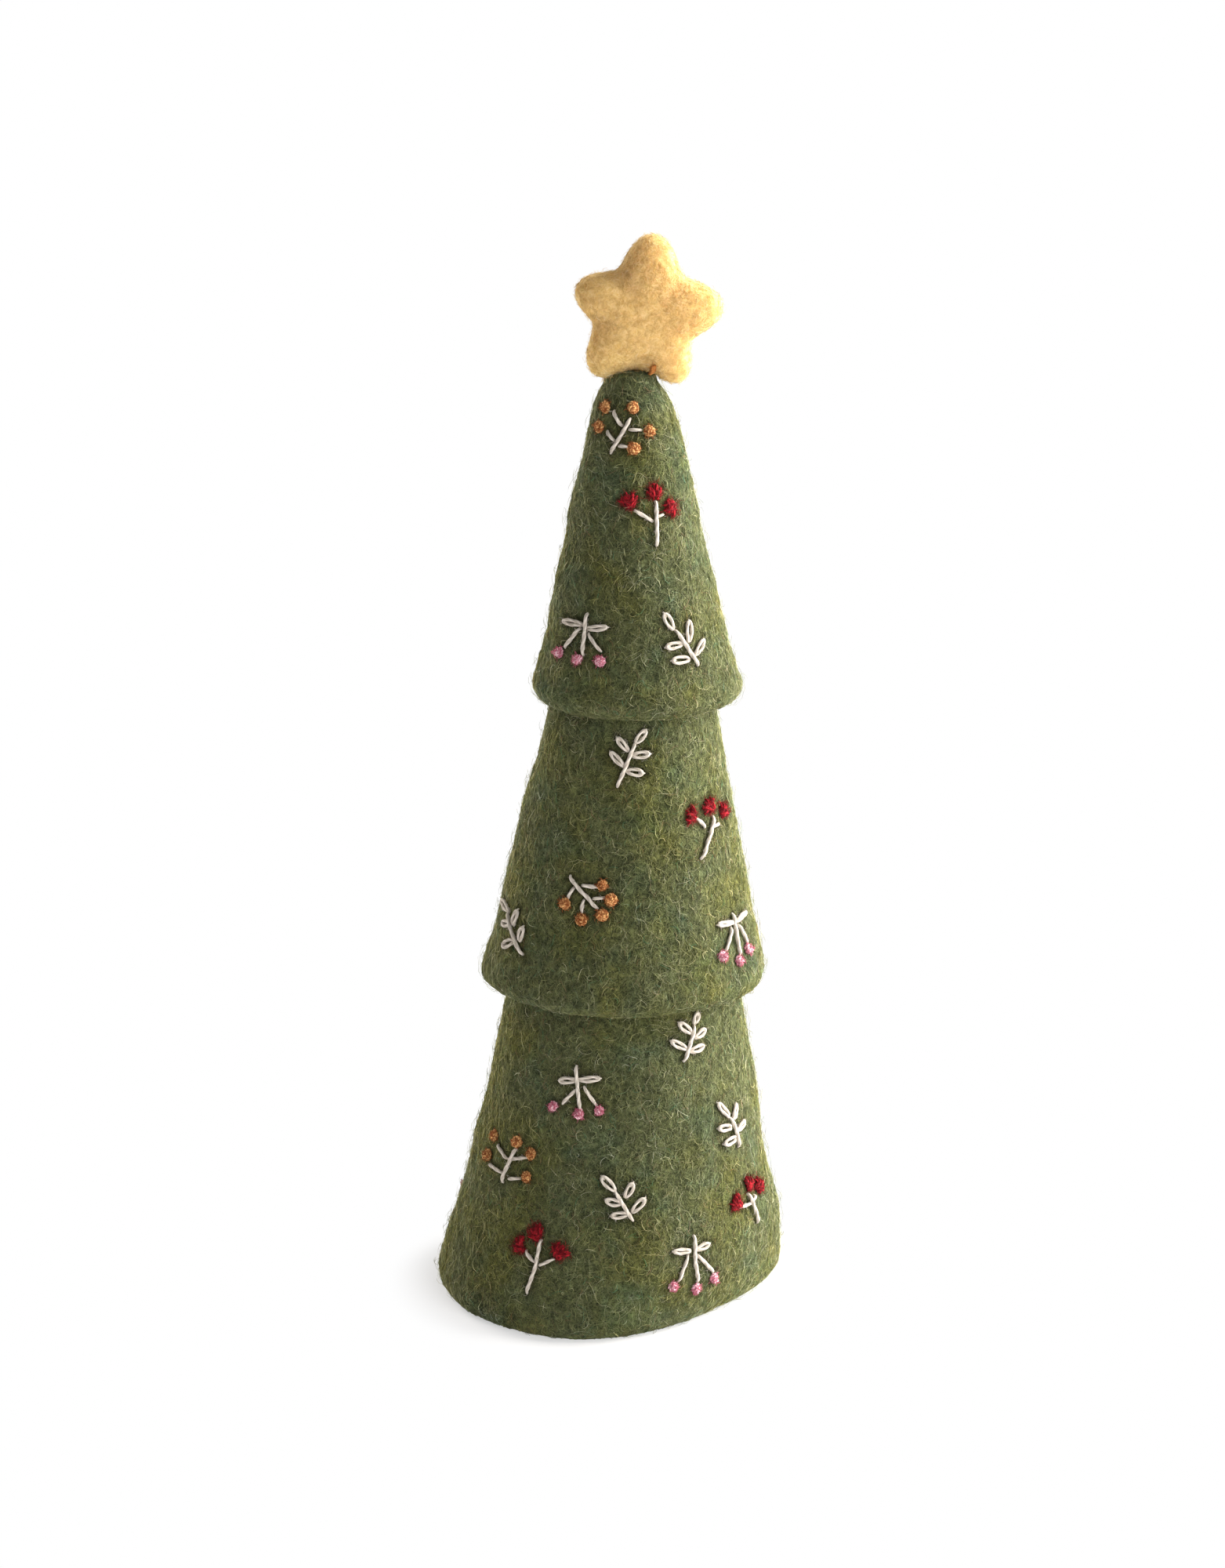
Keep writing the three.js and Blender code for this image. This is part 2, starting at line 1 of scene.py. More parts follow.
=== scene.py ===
import bpy
import numpy as np
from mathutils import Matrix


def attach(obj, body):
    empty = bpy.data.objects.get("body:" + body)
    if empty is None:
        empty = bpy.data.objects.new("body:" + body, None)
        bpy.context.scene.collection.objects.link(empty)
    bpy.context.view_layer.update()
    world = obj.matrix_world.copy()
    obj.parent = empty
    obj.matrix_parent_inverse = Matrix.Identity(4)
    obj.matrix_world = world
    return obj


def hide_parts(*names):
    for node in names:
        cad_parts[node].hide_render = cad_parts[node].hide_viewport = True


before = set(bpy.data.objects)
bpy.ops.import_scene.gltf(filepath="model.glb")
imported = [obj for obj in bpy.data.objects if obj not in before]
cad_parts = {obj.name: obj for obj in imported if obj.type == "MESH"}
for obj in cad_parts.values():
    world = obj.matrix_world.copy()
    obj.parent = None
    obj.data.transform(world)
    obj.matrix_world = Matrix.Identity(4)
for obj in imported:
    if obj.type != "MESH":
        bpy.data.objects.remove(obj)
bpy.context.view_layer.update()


# The shape of the felt tiers. Each tier is a bell of thick green wool felt, wet-felted over a form
# and stuffed. They are not quite round or upright: the axis drifts to the right as it rises, and
# the lowest hem is pressed flatter at the front right. Sizes are in millimetres.
MM = 0.001
TIERS = {
    "lower": {
        "foot": 0.0, "height": 109.4, "hem": 55.0, "neck": 34.2,
        "hem_across": 3.0, "hem_up": 4.8, "crown": 4.0,
        "foot_shift": 0.5, "neck_shift": 4.3, "pressed": 13.0,
        "side": [(0.19, 0.770), (0.437, 0.492), (0.725, 0.236)],
    },
    "middle": {
        "foot": 99.4, "height": 98.2, "hem": 43.5, "neck": 23.2,
        "hem_across": 4.3, "hem_up": 4.4, "crown": 4.0,
        "foot_shift": 3.4, "neck_shift": 6.3, "pressed": 0.0,
        "side": [(0.2, 0.769), (0.47, 0.512), (0.73, 0.261)],
    },
    "upper": {
        "foot": 187.6, "height": 100.3, "hem": 31.3, "neck": 8.0,
        "hem_across": 4.9, "hem_up": 5.7, "crown": 3.5,
        "foot_shift": 7.4, "neck_shift": 5.9, "pressed": 0.0,
        "side": [(0.2, 0.797), (0.44, 0.584), (0.68, 0.393), (0.9, 0.172)],
    },
}
PRESSED_HEIGHT = 34.0
PRESSED_TURN = np.radians(48)
PRESSED_SPREAD = np.radians(78)
LUMP_SIZES = [(26.0, 0.28), (11.0, 0.13), (4.5, 0.07)]  # length and height of the felt's unevenness
LUMP_WAVES = 20  # for each size
CORNER_STEPS, SIDE_STEPS = 25, 160  # points of the outline round the hem or crown, and up the side
PROBE_TURN, PROBE_HEIGHT = 0.02, 0.5  # how far to each side of a point its slope is measured


def smooth_line(points, count):
    """A spline through the points: between two of them it is the cubic whose slope at each is half
    the way from the point before to the point after."""
    points = np.asarray(points, float)
    along = np.linspace(0, len(points) - 1, count)
    first = np.minimum(along.astype(int), len(points) - 2)
    part = (along - first)[:, None]
    before, start = points[np.maximum(first - 1, 0)], points[first]
    end, after = points[first + 1], points[np.minimum(first + 2, len(points) - 1)]
    slope_in, slope_out = (end - before) / 2, (after - start) / 2
    return ((2 * start - 2 * end + slope_in + slope_out) * part ** 3
            + (3 * end - 3 * start - 2 * slope_in - slope_out) * part ** 2 + slope_in * part + start)


def tier_outline(tier):
    """Radius and height from the foot to the crown: a quarter ellipse for the hem, a spline for the
    side, and a quarter circle for the crown."""
    quarter = np.linspace(0, np.pi / 2, CORNER_STEPS)
    hem = np.stack([tier["hem"] - tier["hem_across"] * (1 - np.sin(quarter)),
                    tier["foot"] + tier["hem_up"] * (1 - np.cos(quarter))], 1)
    start, end = tier["foot"] + tier["hem_up"], tier["foot"] + tier["height"] - tier["crown"]
    bends = [(tier["neck"] + (tier["hem"] - tier["neck"]) * out, start + (end - start) * up)
             for up, out in tier["side"]]
    side = smooth_line([(tier["hem"], start)] + bends + [(tier["neck"], end)], SIDE_STEPS)
    crown = np.stack([tier["neck"] - tier["crown"] * (1 - np.cos(quarter)),
                      end + tier["crown"] * np.sin(quarter)], 1)
    return np.concatenate([hem, side[1:], crown[1:]])


def walked_along(line):
    """The distance walked along a broken line, at each of its points."""
    return np.concatenate([[0], np.cumsum(np.hypot(*np.diff(line, axis=0).T))])


for tier_name, tier in TIERS.items():
    tier["name"] = tier_name
    tier["outline"] = tier_outline(tier)
    tier["walked"] = walked_along(tier["outline"])
    tier["top"] = tier["foot"] + tier["height"]


def outline_radius(tier, z):
    """The outline's radius at a height, before it is pressed or made uneven."""
    return np.interp(z, tier["outline"][:, 1], tier["outline"][:, 0])


def axis_shift(tier, z):
    """How far to the right the tier's axis is at a height: it drifts evenly from foot to neck."""
    rise = np.clip((z - tier["foot"]) / tier["height"], 0, 1)
    return tier["foot_shift"] + (tier["neck_shift"] - tier["foot_shift"]) * rise


def lumps(points, seed, sizes):
    """Soft unevenness at points in space: for each size, the sum of 20 sine waves of about that
    length in random directions, scaled to that height."""
    draw = np.random.default_rng(seed)
    total = np.zeros(points.shape[:-1])
    for length, height in sizes:
        way = draw.normal(size=(LUMP_WAVES, 3))
        norm = np.linalg.norm(way, axis=1, keepdims=True)
        way *= 2 * np.pi / (length * draw.uniform(0.75, 1.3, (LUMP_WAVES, 1))) / norm
        phase = draw.uniform(0, 2 * np.pi, LUMP_WAVES)
        for one_way, one_phase in zip(way, phase):
            total += height * np.sin(points @ one_way + one_phase) * np.sqrt(2 / LUMP_WAVES)
    return total


def on_felt(tier, turn, z, lift=0.0):
    """The felt's surface as a function of the turn from the front and the height: the outline's
    radius, pressed in where the hem is pressed, plus the lumps, about an axis that drifts with
    height. Lift moves the points straight out from the axis."""
    turn, z = np.broadcast_arrays(np.asarray(turn, float), np.asarray(z, float))
    shift = axis_shift(tier, z)
    round_turn = (turn + np.pi) % (2 * np.pi) - np.pi
    off = np.minimum(np.abs(round_turn - PRESSED_TURN) / PRESSED_SPREAD, 1)
    up = np.clip((z - tier["foot"]) / PRESSED_HEIGHT, 0, 1)
    pressed = np.cos(off * np.pi / 2) ** 2 * (1 - up) ** 2 * tier["pressed"] / tier["hem"]
    radius = outline_radius(tier, z) * (1 - pressed)
    flat = np.stack([shift + radius * np.sin(turn), -radius * np.cos(turn), z], -1)
    radius = radius + lumps(flat, int(tier["hem"]), LUMP_SIZES) + lift
    return np.stack([shift + radius * np.sin(turn), -radius * np.cos(turn), z], -1)


def off_felt(tier, turn, z, lift):
    """Points at a given lift square to the felt, and the outward normals there. The normal is the
    cross product of the surface's two directions."""
    across = on_felt(tier, turn + PROBE_TURN, z) - on_felt(tier, turn - PROBE_TURN, z)
    upward = on_felt(tier, turn, z + PROBE_HEIGHT) - on_felt(tier, turn, z - PROBE_HEIGHT)
    normal = np.cross(across, upward)
    normal /= np.linalg.norm(normal, axis=-1, keepdims=True)
    return on_felt(tier, turn, z) + normal * np.asarray(lift)[..., None], normal


def piece_from(name, points, faces, material, replaced=(), uv=None, shade=None):
    """Makes a mesh object from points in millimetres and a list of face arrays, each of which has
    one face a row, and gives it its material, body and replaced nodes."""
    mesh = bpy.data.meshes.new(name)
    mesh.vertices.add(len(points))
    mesh.vertices.foreach_set("co", (np.asarray(points) * MM).astype(np.float32).ravel())
    corners = np.concatenate([face.ravel() for face in faces])
    counts = np.concatenate([np.full(len(face), face.shape[1]) for face in faces])
    starts = np.concatenate([[0], np.cumsum(counts)[:-1]])
    mesh.loops.add(len(corners))
    mesh.loops.foreach_set("vertex_index", corners.astype(np.int32))
    mesh.polygons.add(len(counts))
    mesh.polygons.foreach_set("loop_start", starts.astype(np.int32))
    mesh.polygons.foreach_set("loop_total", counts.astype(np.int32))
    mesh.polygons.foreach_set("use_smooth", np.ones(len(counts), bool))
    if uv is not None:
        layer = mesh.uv_layers.new(name="along")
        layer.data.foreach_set("uv", uv[corners].astype(np.float32).ravel())
    if shade is not None:
        layer = mesh.attributes.new("shade", "FLOAT", "POINT")
        layer.data.foreach_set("value", np.asarray(shade, np.float32))
    mesh.update(calc_edges=True)
    mesh.validate()
    mesh.materials.append(material)
    made = bpy.data.objects.new(name, mesh)
    bpy.context.scene.collection.objects.link(made)
    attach(made, "root")
    if replaced:
        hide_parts(*replaced)
    return made


def round_grid(shape):
    """Faces of a closed surface: one point, then ring after ring, then one more point. The shape is
    the count of rings and the count of points round each."""
    count, around = shape
    ring = np.arange(around)
    following = (ring + 1) % around
    base = 1 + np.arange(count - 1)[:, None] * around
    quads = np.stack([base + ring, base + following, base + around + following, base + around + ring], -1)
    last = 1 + (count - 1) * around
    foot = np.stack([np.zeros(around, int), following + 1, ring + 1], 1)
    top = np.stack([last + ring, last + following, np.full(around, last + around)], 1)
    return [quads.reshape(-1, 4), foot, top]


# The wool itself: matted, curly fibres in two or three greens, felted so tightly that the strands
# read as a mottle a millimetre or two across, with a few paler ones on top. The same matting in
# gold makes the star.
def shader_group(name, given, made):
    """A new node group with named inputs, each with its usual value, and named outputs. A value is
    a number or a colour. Gives the group and its input and output nodes."""
    group = bpy.data.node_groups.new(name, "ShaderNodeTree")
    for socket, value in given.items():
        kind = "NodeSocketFloat" if isinstance(value, float) else "NodeSocketColor"
        new = group.interface.new_socket(name=socket, in_out="INPUT", socket_type=kind)
        new.default_value = value
    for socket, kind in made.items():
        group.interface.new_socket(name=socket, in_out="OUTPUT", socket_type=kind)
    return group, group.nodes.new("NodeGroupInput"), group.nodes.new("NodeGroupOutput")


def link(tree, *pairs):
    """Joins each pair of an output and an input."""
    for source, target in pairs:
        tree.links.new(source, target)


def maths(tree, operation, first, second=None, third=None, clamp=False):
    """One arithmetic node. Each operand is a socket or a number."""
    node = tree.nodes.new("ShaderNodeMath")
    node.operation = operation
    node.use_clamp = clamp
    for i, value in enumerate((first, second, third)):
        if value is None:
            continue
        if isinstance(value, (int, float)):
            node.inputs[i].default_value = value
        else:
            tree.links.new(value, node.inputs[i])
    return node.outputs[0]


def noise(tree, vector, scale, detail=2.0, distortion=0.0, roughness=0.5):
    """Smooth noise from 0 to 1. The scale is how many waves there are to a metre."""
    node = tree.nodes.new("ShaderNodeTexNoise")
    node.inputs["Scale"].default_value = scale
    node.inputs["Detail"].default_value = detail
    node.inputs["Roughness"].default_value = roughness
    node.inputs["Distortion"].default_value = distortion
    tree.links.new(vector, node.inputs["Vector"])
    return node.outputs["Fac"]


def attribute(tree, name):
    """A number kept at each point of a mesh, 0 where the mesh has none of that name."""
    node = tree.nodes.new("ShaderNodeAttribute")
    node.attribute_name = name
    return node.outputs["Fac"]


def blend_colors(tree, share, first, second, way="MIX"):
    """Blends the first colour into the second by a share, or multiplies the first by it."""
    node = tree.nodes.new("ShaderNodeMix")
    node.data_type = "RGBA"
    node.blend_type = way
    for socket, value in ((node.inputs[0], share), (node.inputs[6], first), (node.inputs[7], second)):
        if isinstance(value, bpy.types.NodeSocket):
            tree.links.new(value, socket)
        else:
            socket.default_value = value
    return node.outputs[2]


def matted_wool_group():
    """Felted fibres. Each layer of curly strands is where a noise field crosses one of several
    levels; three layers of different sizes are laid over a mottled ground."""
    group, given, out = shader_group(
        "matted_wool",
        {"Deep": (0.03, 0.04, 0.02, 1), "Body": (0.08, 0.10, 0.04, 1), "Strand": (0.15, 0.18, 0.08, 1)},
        {"Color": "NodeSocketColor", "Height": "NodeSocketFloat"})
    place = group.nodes.new("ShaderNodeTexCoord").outputs["Object"]
    mottle = noise(group, place, 480, 3, 0.6, 0.6)
    over = None
    for scale, levels, width in ((250, 5, 0.15), (420, 5, 0.19), (700, 4, 0.24)):
        wave = maths(group, "FRACT", maths(group, "MULTIPLY", noise(group, place, scale, 1.0, 0.9), levels))
        away = maths(group, "ABSOLUTE", maths(group, "SUBTRACT", wave, 0.5))
        near = maths(group, "SUBTRACT", 1.0, maths(group, "DIVIDE", away, width), clamp=True)
        over = near if over is None else maths(group, "MAXIMUM", over, near)
    clear = maths(group, "MULTIPLY_ADD", mottle, 2.4, -0.6)
    strands = maths(group, "MULTIPLY", over, clear, clamp=True)
    bodied = maths(group, "MULTIPLY_ADD", mottle, 4.0, -1.55, clamp=True)
    ground = blend_colors(group, bodied, given.outputs["Deep"], given.outputs["Body"])
    color = blend_colors(group, strands, ground, given.outputs["Strand"])
    link(group, (color, out.inputs["Color"]),
         (maths(group, "MULTIPLY_ADD", over, 0.7, mottle), out.inputs["Height"]))
    return group


def wool_blend_group():
    """The uneven blend of the wool: patches of two or three centimetres lean to one tint or the
    other, and painted shade darkens the felt where stitches press it in, by the attribute pressed."""
    group, given, out = shader_group(
        "wool_blend",
        {"Color": (0.1, 0.1, 0.1, 1), "Warm": (1.25, 1.1, 0.8, 1), "Cool": (0.7, 0.95, 1.0, 1),
         "Shadow": (0.35, 0.3, 0.3, 1)},
        {"Blended": "NodeSocketColor"})
    place = group.nodes.new("ShaderNodeTexCoord").outputs["Object"]
    warm = maths(group, "MULTIPLY_ADD", noise(group, place, 46, 2.5, 0.5), 4.5, -2.0, clamp=True)
    cool = maths(group, "MULTIPLY_ADD", noise(group, place, 71, 2.5, 0.5), 5.0, -2.5, clamp=True)
    color = given.outputs["Color"]
    for share, tint in ((warm, "Warm"), (cool, "Cool"), (attribute(group, "pressed"), "Shadow")):
        color = blend_colors(group, share, color, given.outputs[tint], "MULTIPLY")
    link(group, (color, out.inputs["Blended"]))
    return group


matted_wool = matted_wool_group()
wool_blend = wool_blend_group()


def linear(code):
    """A colour written as six hex digits, as the four linear numbers that the shader takes."""
    channels = np.array([int(code[i:i + 2], 16) for i in (0, 2, 4)]) / 255
    bright = np.where(channels <= 0.04045, channels / 12.92, ((channels + 0.055) / 1.055) ** 2.4)
    return (*(float(channel) for channel in bright), 1)


def wool_shader(name, values):
    """A new material whose Principled shader has its inputs set by name. Gives the material, its
    node tree and the shader."""
    material = bpy.data.materials.new(name)
    material.use_nodes = True
    shader = material.node_tree.nodes["Principled BSDF"]
    for socket, value in values.items():
        shader.inputs[socket].default_value = value
    return material, material.node_tree, shader


def placed_group(tree, group, values):
    """Places a node group in a tree, with its inputs set by name."""
    node = tree.nodes.new("ShaderNodeGroup")
    node.node_tree = group
    for socket, value in values.items():
        node.inputs[socket].default_value = value
    return node


def raise_surface(tree, shader, height, strength, distance):
    """Bends the shader's normal by a height. The distance is in metres."""
    raised = tree.nodes.new("ShaderNodeBump")
    raised.inputs["Strength"].default_value = strength
    raised.inputs["Distance"].default_value = distance
    link(tree, (height, raised.inputs["Height"]), (raised.outputs["Normal"], shader.inputs["Normal"]))


def blended(tree, color, tints):
    """Passes a colour through the wool blend with a material's own tints, warm, cool and shadow."""
    named = {socket: (*tint, 1) for socket, tint in zip(("Warm", "Cool", "Shadow"), tints)}
    node = placed_group(tree, wool_blend, named)
    tree.links.new(color, node.inputs["Color"])
    return node.outputs["Blended"]


def felt_material(name, colors, tints, bump, sheen, soft=0.0):
    """Wool felt: the matted strands give its colour, from deep through body to strand, and its
    bump, and a soft sheen its hairy edge. Where it is soft, light also passes about a centimetre
    into it."""
    deep, body, strand = [linear(code) for code in colors]
    material, tree, shader = wool_shader(name, {
        "Roughness": 0.95, "Specular IOR Level": 0.1,
        "Sheen Weight": sheen, "Sheen Roughness": 0.6, "Sheen Tint": strand,
        "Subsurface Weight": soft, "Subsurface Radius": (1.0, 0.85, 0.65), "Subsurface Scale": 0.012})
    felted = placed_group(tree, matted_wool, {"Deep": deep, "Body": body, "Strand": strand})
    link(tree, (blended(tree, felted.outputs["Color"], tints), shader.inputs["Base Color"]))
    raise_surface(tree, shader, felted.outputs["Height"], strength=bump, distance=0.0006)
    return material


# Warm and cool tints of the wool's own patches, then the painted shade laid on the felt near stitches.
GREEN_TINTS = ((1.18, 1.06, 0.66), (0.75, 0.92, 1.10), (0.42, 0.36, 0.36))
green_felt = felt_material("green_wool_felt", ("292d1c", "494e33", "70764e"), GREEN_TINTS,
                           bump=0.8, sheen=0.7)


def fibre_material(name, shades, tints, sheen, soft):
    """Fibres: each takes its own colour from a ramp of shades, given as places and colours. Where
    they are soft, light passes through them, which brightens the hairy edge."""
    material, tree, shader = wool_shader(name, {
        "Roughness": 0.85, "Specular IOR Level": 0.15,
        "Sheen Weight": sheen, "Sheen Roughness": 0.5, "Sheen Tint": linear(shades[-1][1]),
        "Subsurface Weight": soft, "Subsurface Radius": (1.0, 0.95, 0.6), "Subsurface Scale": 0.0004})
    ramp = tree.nodes.new("ShaderNodeValToRGB")
    for _ in shades[2:]:
        ramp.color_ramp.elements.new(0.5)
    for element, (place, code) in zip(ramp.color_ramp.elements, shades):
        element.position = place
        element.color = linear(code)
    link(tree, (attribute(tree, "shade"), ramp.inputs["Fac"]),
         (blended(tree, ramp.outputs["Color"], tints), shader.inputs["Base Color"]))
    return material


# Greens from dark to light, then a few fibres of blue-green, of brown and of pale wool.
green_fibre = fibre_material("green_wool_fibres", [
    (0.0, "303621"), (0.5, "525837"), (0.90, "808456"), (0.91, "3d6a49"), (0.935, "3d6a49"),
    (0.94, "6b543a"), (0.965, "6b543a"), (0.97, "989869"), (1.0, "bcb996")], GREEN_TINTS, sheen=0.4, soft=0.6)

PALE_SHADES = (0.96, 1.0)  # the part of the ramp that the long hairs take
FIBRE_STEPS = 5
FIBRE_SIDES = 3
MOST_FIBRES = 8200  # in one piece


def curled_ways(count, lengths, draw, upright=0.0, steps=FIBRE_STEPS, wander=0.0):
    """How far a curly fibre goes across and up from its root: it sets off in a random direction, or
    for a share of them near the upright, turns at its own steady rate and may wander as well."""
    step = np.arange(steps) / (steps - 1)
    start = draw.uniform(0, 2 * np.pi, (count, 1))
    near_upright = draw.uniform(size=(count, 1)) < upright
    start = np.where(near_upright, np.pi / 2 + draw.normal(0, 0.5, (count, 1)), start)
    heading = start + draw.normal(0, 2.4, (count, 1)) * (step - 0.5) + draw.normal(0, 0.25, (count, steps))
    heading = heading + np.cumsum(draw.normal(0, 1, (count, steps)), 1) * wander
    reach = (lengths / (steps - 1))[:, None]
    across = (np.cumsum(np.cos(heading), 1) - np.cos(heading[:, :1])) * reach
    upward = (np.cumsum(np.sin(heading), 1) - np.sin(heading[:, :1])) * reach
    return across, upward


def unit(vectors):
    """The vectors brought to a length of 1. One without a length stays as it is."""
    return vectors / (np.linalg.norm(vectors, axis=-1, keepdims=True) + 1e-9)


def fibre_mesh(lines, normals, radii):
    """Three-sided tubes that taper to a point at both ends, one for each centre line."""
    count, steps = lines.shape[:2]
    ahead = unit(np.gradient(lines, axis=1))
    side = unit(np.cross(ahead, normals))
    over = np.cross(ahead, side)
    corner = np.arange(FIBRE_SIDES) * 2 * np.pi / FIBRE_SIDES
    thick = radii[:, None] * np.sin(np.pi * (np.arange(1, steps - 1) / (steps - 1))) ** 0.5
    ring = np.cos(corner)[:, None] * side[:, 1:-1, None] + np.sin(corner)[:, None] * over[:, 1:-1, None]
    rings = lines[:, 1:-1, None] + ring * thick[:, :, None, None]
    points = np.concatenate([lines[:, :1], rings.reshape(count, -1, 3), lines[:, -1:]], 1)
    each = points.shape[1]
    offset = np.arange(count)[:, None, None] * each
    one = round_grid((steps - 2, FIBRE_SIDES))
    return points.reshape(-1, 3), [(face[None] + offset).reshape(-1, face.shape[1]) for face in one], each


def fibre_pieces(name, lines, normals, radii, draw, material, slot, shades=(0, 1)):
    """Makes one or more pieces from fibres, so that none has too many faces. Each fibre takes its
    shade from the given part of the material's ramp."""
    made = []
    parts = -(-len(lines) // MOST_FIBRES)
    for part, chosen in enumerate(np.array_split(np.arange(len(lines)), parts)):
        points, faces, each = fibre_mesh(lines[chosen], normals[chosen], radii[chosen])
        shade = np.repeat(draw.uniform(*shades, len(chosen)), each)
        made.append(piece_from(name + "_%d" % (part + 1), points, faces, material, shade=shade))
    return made


# The jackets. Each is about 4.5 mm thick with a rolled hem, and hollow: the lowest is closed from
# below by the sole, and each of the others is opened out underneath to sit over the crown of the
# tier below it.
WALL = 4.5
CLEARANCE = 0.35
SOLE_THICKNESS = 4.0
SOLE_INSET = 1.2  # from the start of the hem's rounding in to the sole's edge
SOLE_RADIUS = TIERS["lower"]["hem"] - TIERS["lower"]["hem_across"] - SOLE_INSET
TIER_FACES = {"lower": (264, 144), "middle": (240, 150), "upper": (208, 176)}
FIBRE_COUNTS = {"lower": 24400, "middle": 16300, "upper": 11600}
FIBRE_LENGTHS, FIBRE_RADII = (2.2, 6.0), (0.05, 0.115)
STRAY_SHARE, STRAY_RADII = 0.2, (0.03, 0.055)
FIBRE_STAND, STRAY_STAND = (0.10, 0.18), (0.3, 1.6)  # least height of the arch, and how much more
HAIR_COUNTS = {"lower": 380, "middle": 260, "upper": 190}
HAIR_LENGTHS, HAIR_RADII = (6.0, 15.0), (0.035, 0.055)
HAIR_STEPS = 14
HAIR_LIFT, HAIR_WAVE = 0.2, 0.22
OUTLINE_MARGIN = 0.3  # how near a fibre comes to either end of the outline
FLOOR_MARGIN = 0.12


def inner_rows(tier, below):
    """Radius, height and own tier of the rows of a jacket's inside, from its ceiling to its hem."""
    floor = SOLE_THICKNESS + CLEARANCE if below is None else below["top"] + CLEARANCE
    ceiling = tier["top"] - WALL
    narrow = outline_radius(tier, ceiling) - WALL
    rows = [(narrow * 0.35, ceiling, tier), (narrow * 0.8, ceiling, tier)]
    for z in np.linspace(ceiling, floor, 9):
        rows.append((outline_radius(tier, z) - WALL, z, tier))
    if below is None:
        return rows + [(SOLE_RADIUS + CLEARANCE, floor, tier), (SOLE_RADIUS + CLEARANCE, 0.0, tier)]
    for z in np.linspace(floor, tier["foot"], 6):
        rows.append((outline_radius(below, z) + CLEARANCE, z, below))
    return rows


def ring_of(tier, radius, z, turn):
    """One ring of a jacket's inside, about its tier's drifting axis and pressed as the outside is."""
    outside = on_felt(tier, turn, np.full_like(turn, z))
    centre = np.array([axis_shift(tier, z), 0, z])
    return centre + (outside - centre) * (radius / outline_radius(tier, z))


def capped(tier, rings, turn, low, high):
    """The points of rings, with one on the axis at the low height before them and one at the high
    height after them, and their shape."""
    first, last = [ring_of(tier, 0.0, level, turn[:1]) for level in (low, high)]
    return np.concatenate([first, np.concatenate(rings), last]), (len(rings), len(turn))


def jacket_points(tier, below, around, rows):
    """All rings of a jacket from the middle of its ceiling, down its inside, round the hem, up its
    outside and over its crown to the middle of its top."""
    turn = np.arange(around) * 2 * np.pi / around
    inside = [ring_of(owner, radius, z, turn) for radius, z, owner in inner_rows(tier, below)]
    heights = np.interp(np.linspace(0, tier["walked"][-1], rows), tier["walked"], tier["outline"][:, 1])
    outside = on_felt(tier, turn[None], heights[:, None])
    crown = [ring_of(tier, tier["outline"][-1, 0] * share, tier["top"], turn) for share in (0.75, 0.45, 0.15)]
    return capped(tier, np.concatenate([inside, outside, crown]), turn, tier["top"] - WALL, tier["top"])


def fibre_roots(tier, count, draw):
    """Random places spread evenly over the outside of a tier: the way up its outline, and the turn."""
    area = np.concatenate([[0], np.cumsum(np.diff(tier["walked"]) * tier["outline"][1:, 0])])
    start = np.interp(draw.uniform(0, area[-1], count), area, tier["walked"])
    return start, draw.uniform(0, 2 * np.pi, count)


def lines_on_felt(tier, roots, ways, lift):
    """Carries fibres that go across and up from their roots on to the felt, at their lift."""
    start, turn = roots
    across, upward = ways
    along = np.clip(start[:, None] + upward, OUTLINE_MARGIN, tier["walked"][-1] - OUTLINE_MARGIN)
    radius = np.interp(start, tier["walked"], tier["outline"][:, 0])
    z = np.interp(along, tier["walked"], tier["outline"][:, 1])
    lines, normals = off_felt(tier, turn[:, None] + across / radius[:, None], z, lift)
    lines[..., 2] = np.maximum(lines[..., 2], tier["foot"] + FLOOR_MARGIN)
    return lines, normals


def short_fibres(tier, count, draw):
    """Fibres over the outside of a tier. Each lies along the felt, and its height over it is an
    arch; the strays are thinner and longer, and stand further off."""
    roots = fibre_roots(tier, count, draw)
    stray = draw.uniform(size=count) < STRAY_SHARE
    lengths = draw.uniform(*FIBRE_LENGTHS, count) * np.where(stray, 1.3, 1)
    radii = np.where(stray, draw.uniform(*STRAY_RADII, count), draw.uniform(*FIBRE_RADII, count))
    far = STRAY_STAND[0] + STRAY_STAND[1] * draw.uniform(size=count) ** 2
    near = FIBRE_STAND[0] + FIBRE_STAND[1] * draw.uniform(size=count)
    stand = np.where(stray, far, near)
    ways = curled_ways(count, lengths, draw, upright=0.3)
    step = np.arange(FIBRE_STEPS) / (FIBRE_STEPS - 1)
    lift = stand[:, None] * np.sin(np.pi * (0.05 + np.where(stray, 0.55, 0.9)[:, None] * step)) - 0.03
    return *lines_on_felt(tier, roots, ways, lift), radii


def long_hairs(tier, count, draw):
    """A few pale hairs up to 15 mm long that wander over the felt, partly sunk in it."""
    roots = fibre_roots(tier, count, draw)
    ways = curled_ways(count, draw.uniform(*HAIR_LENGTHS, count), draw, 0.2, HAIR_STEPS, wander=0.3)
    wave = np.sin(np.linspace(0, 3 * np.pi, HAIR_STEPS) + draw.uniform(0, 2 * np.pi, (count, 1)))
    lines, normals = lines_on_felt(tier, roots, ways, HAIR_LIFT + HAIR_WAVE * wave)
    return lines, normals, draw.uniform(*HAIR_RADII, count)


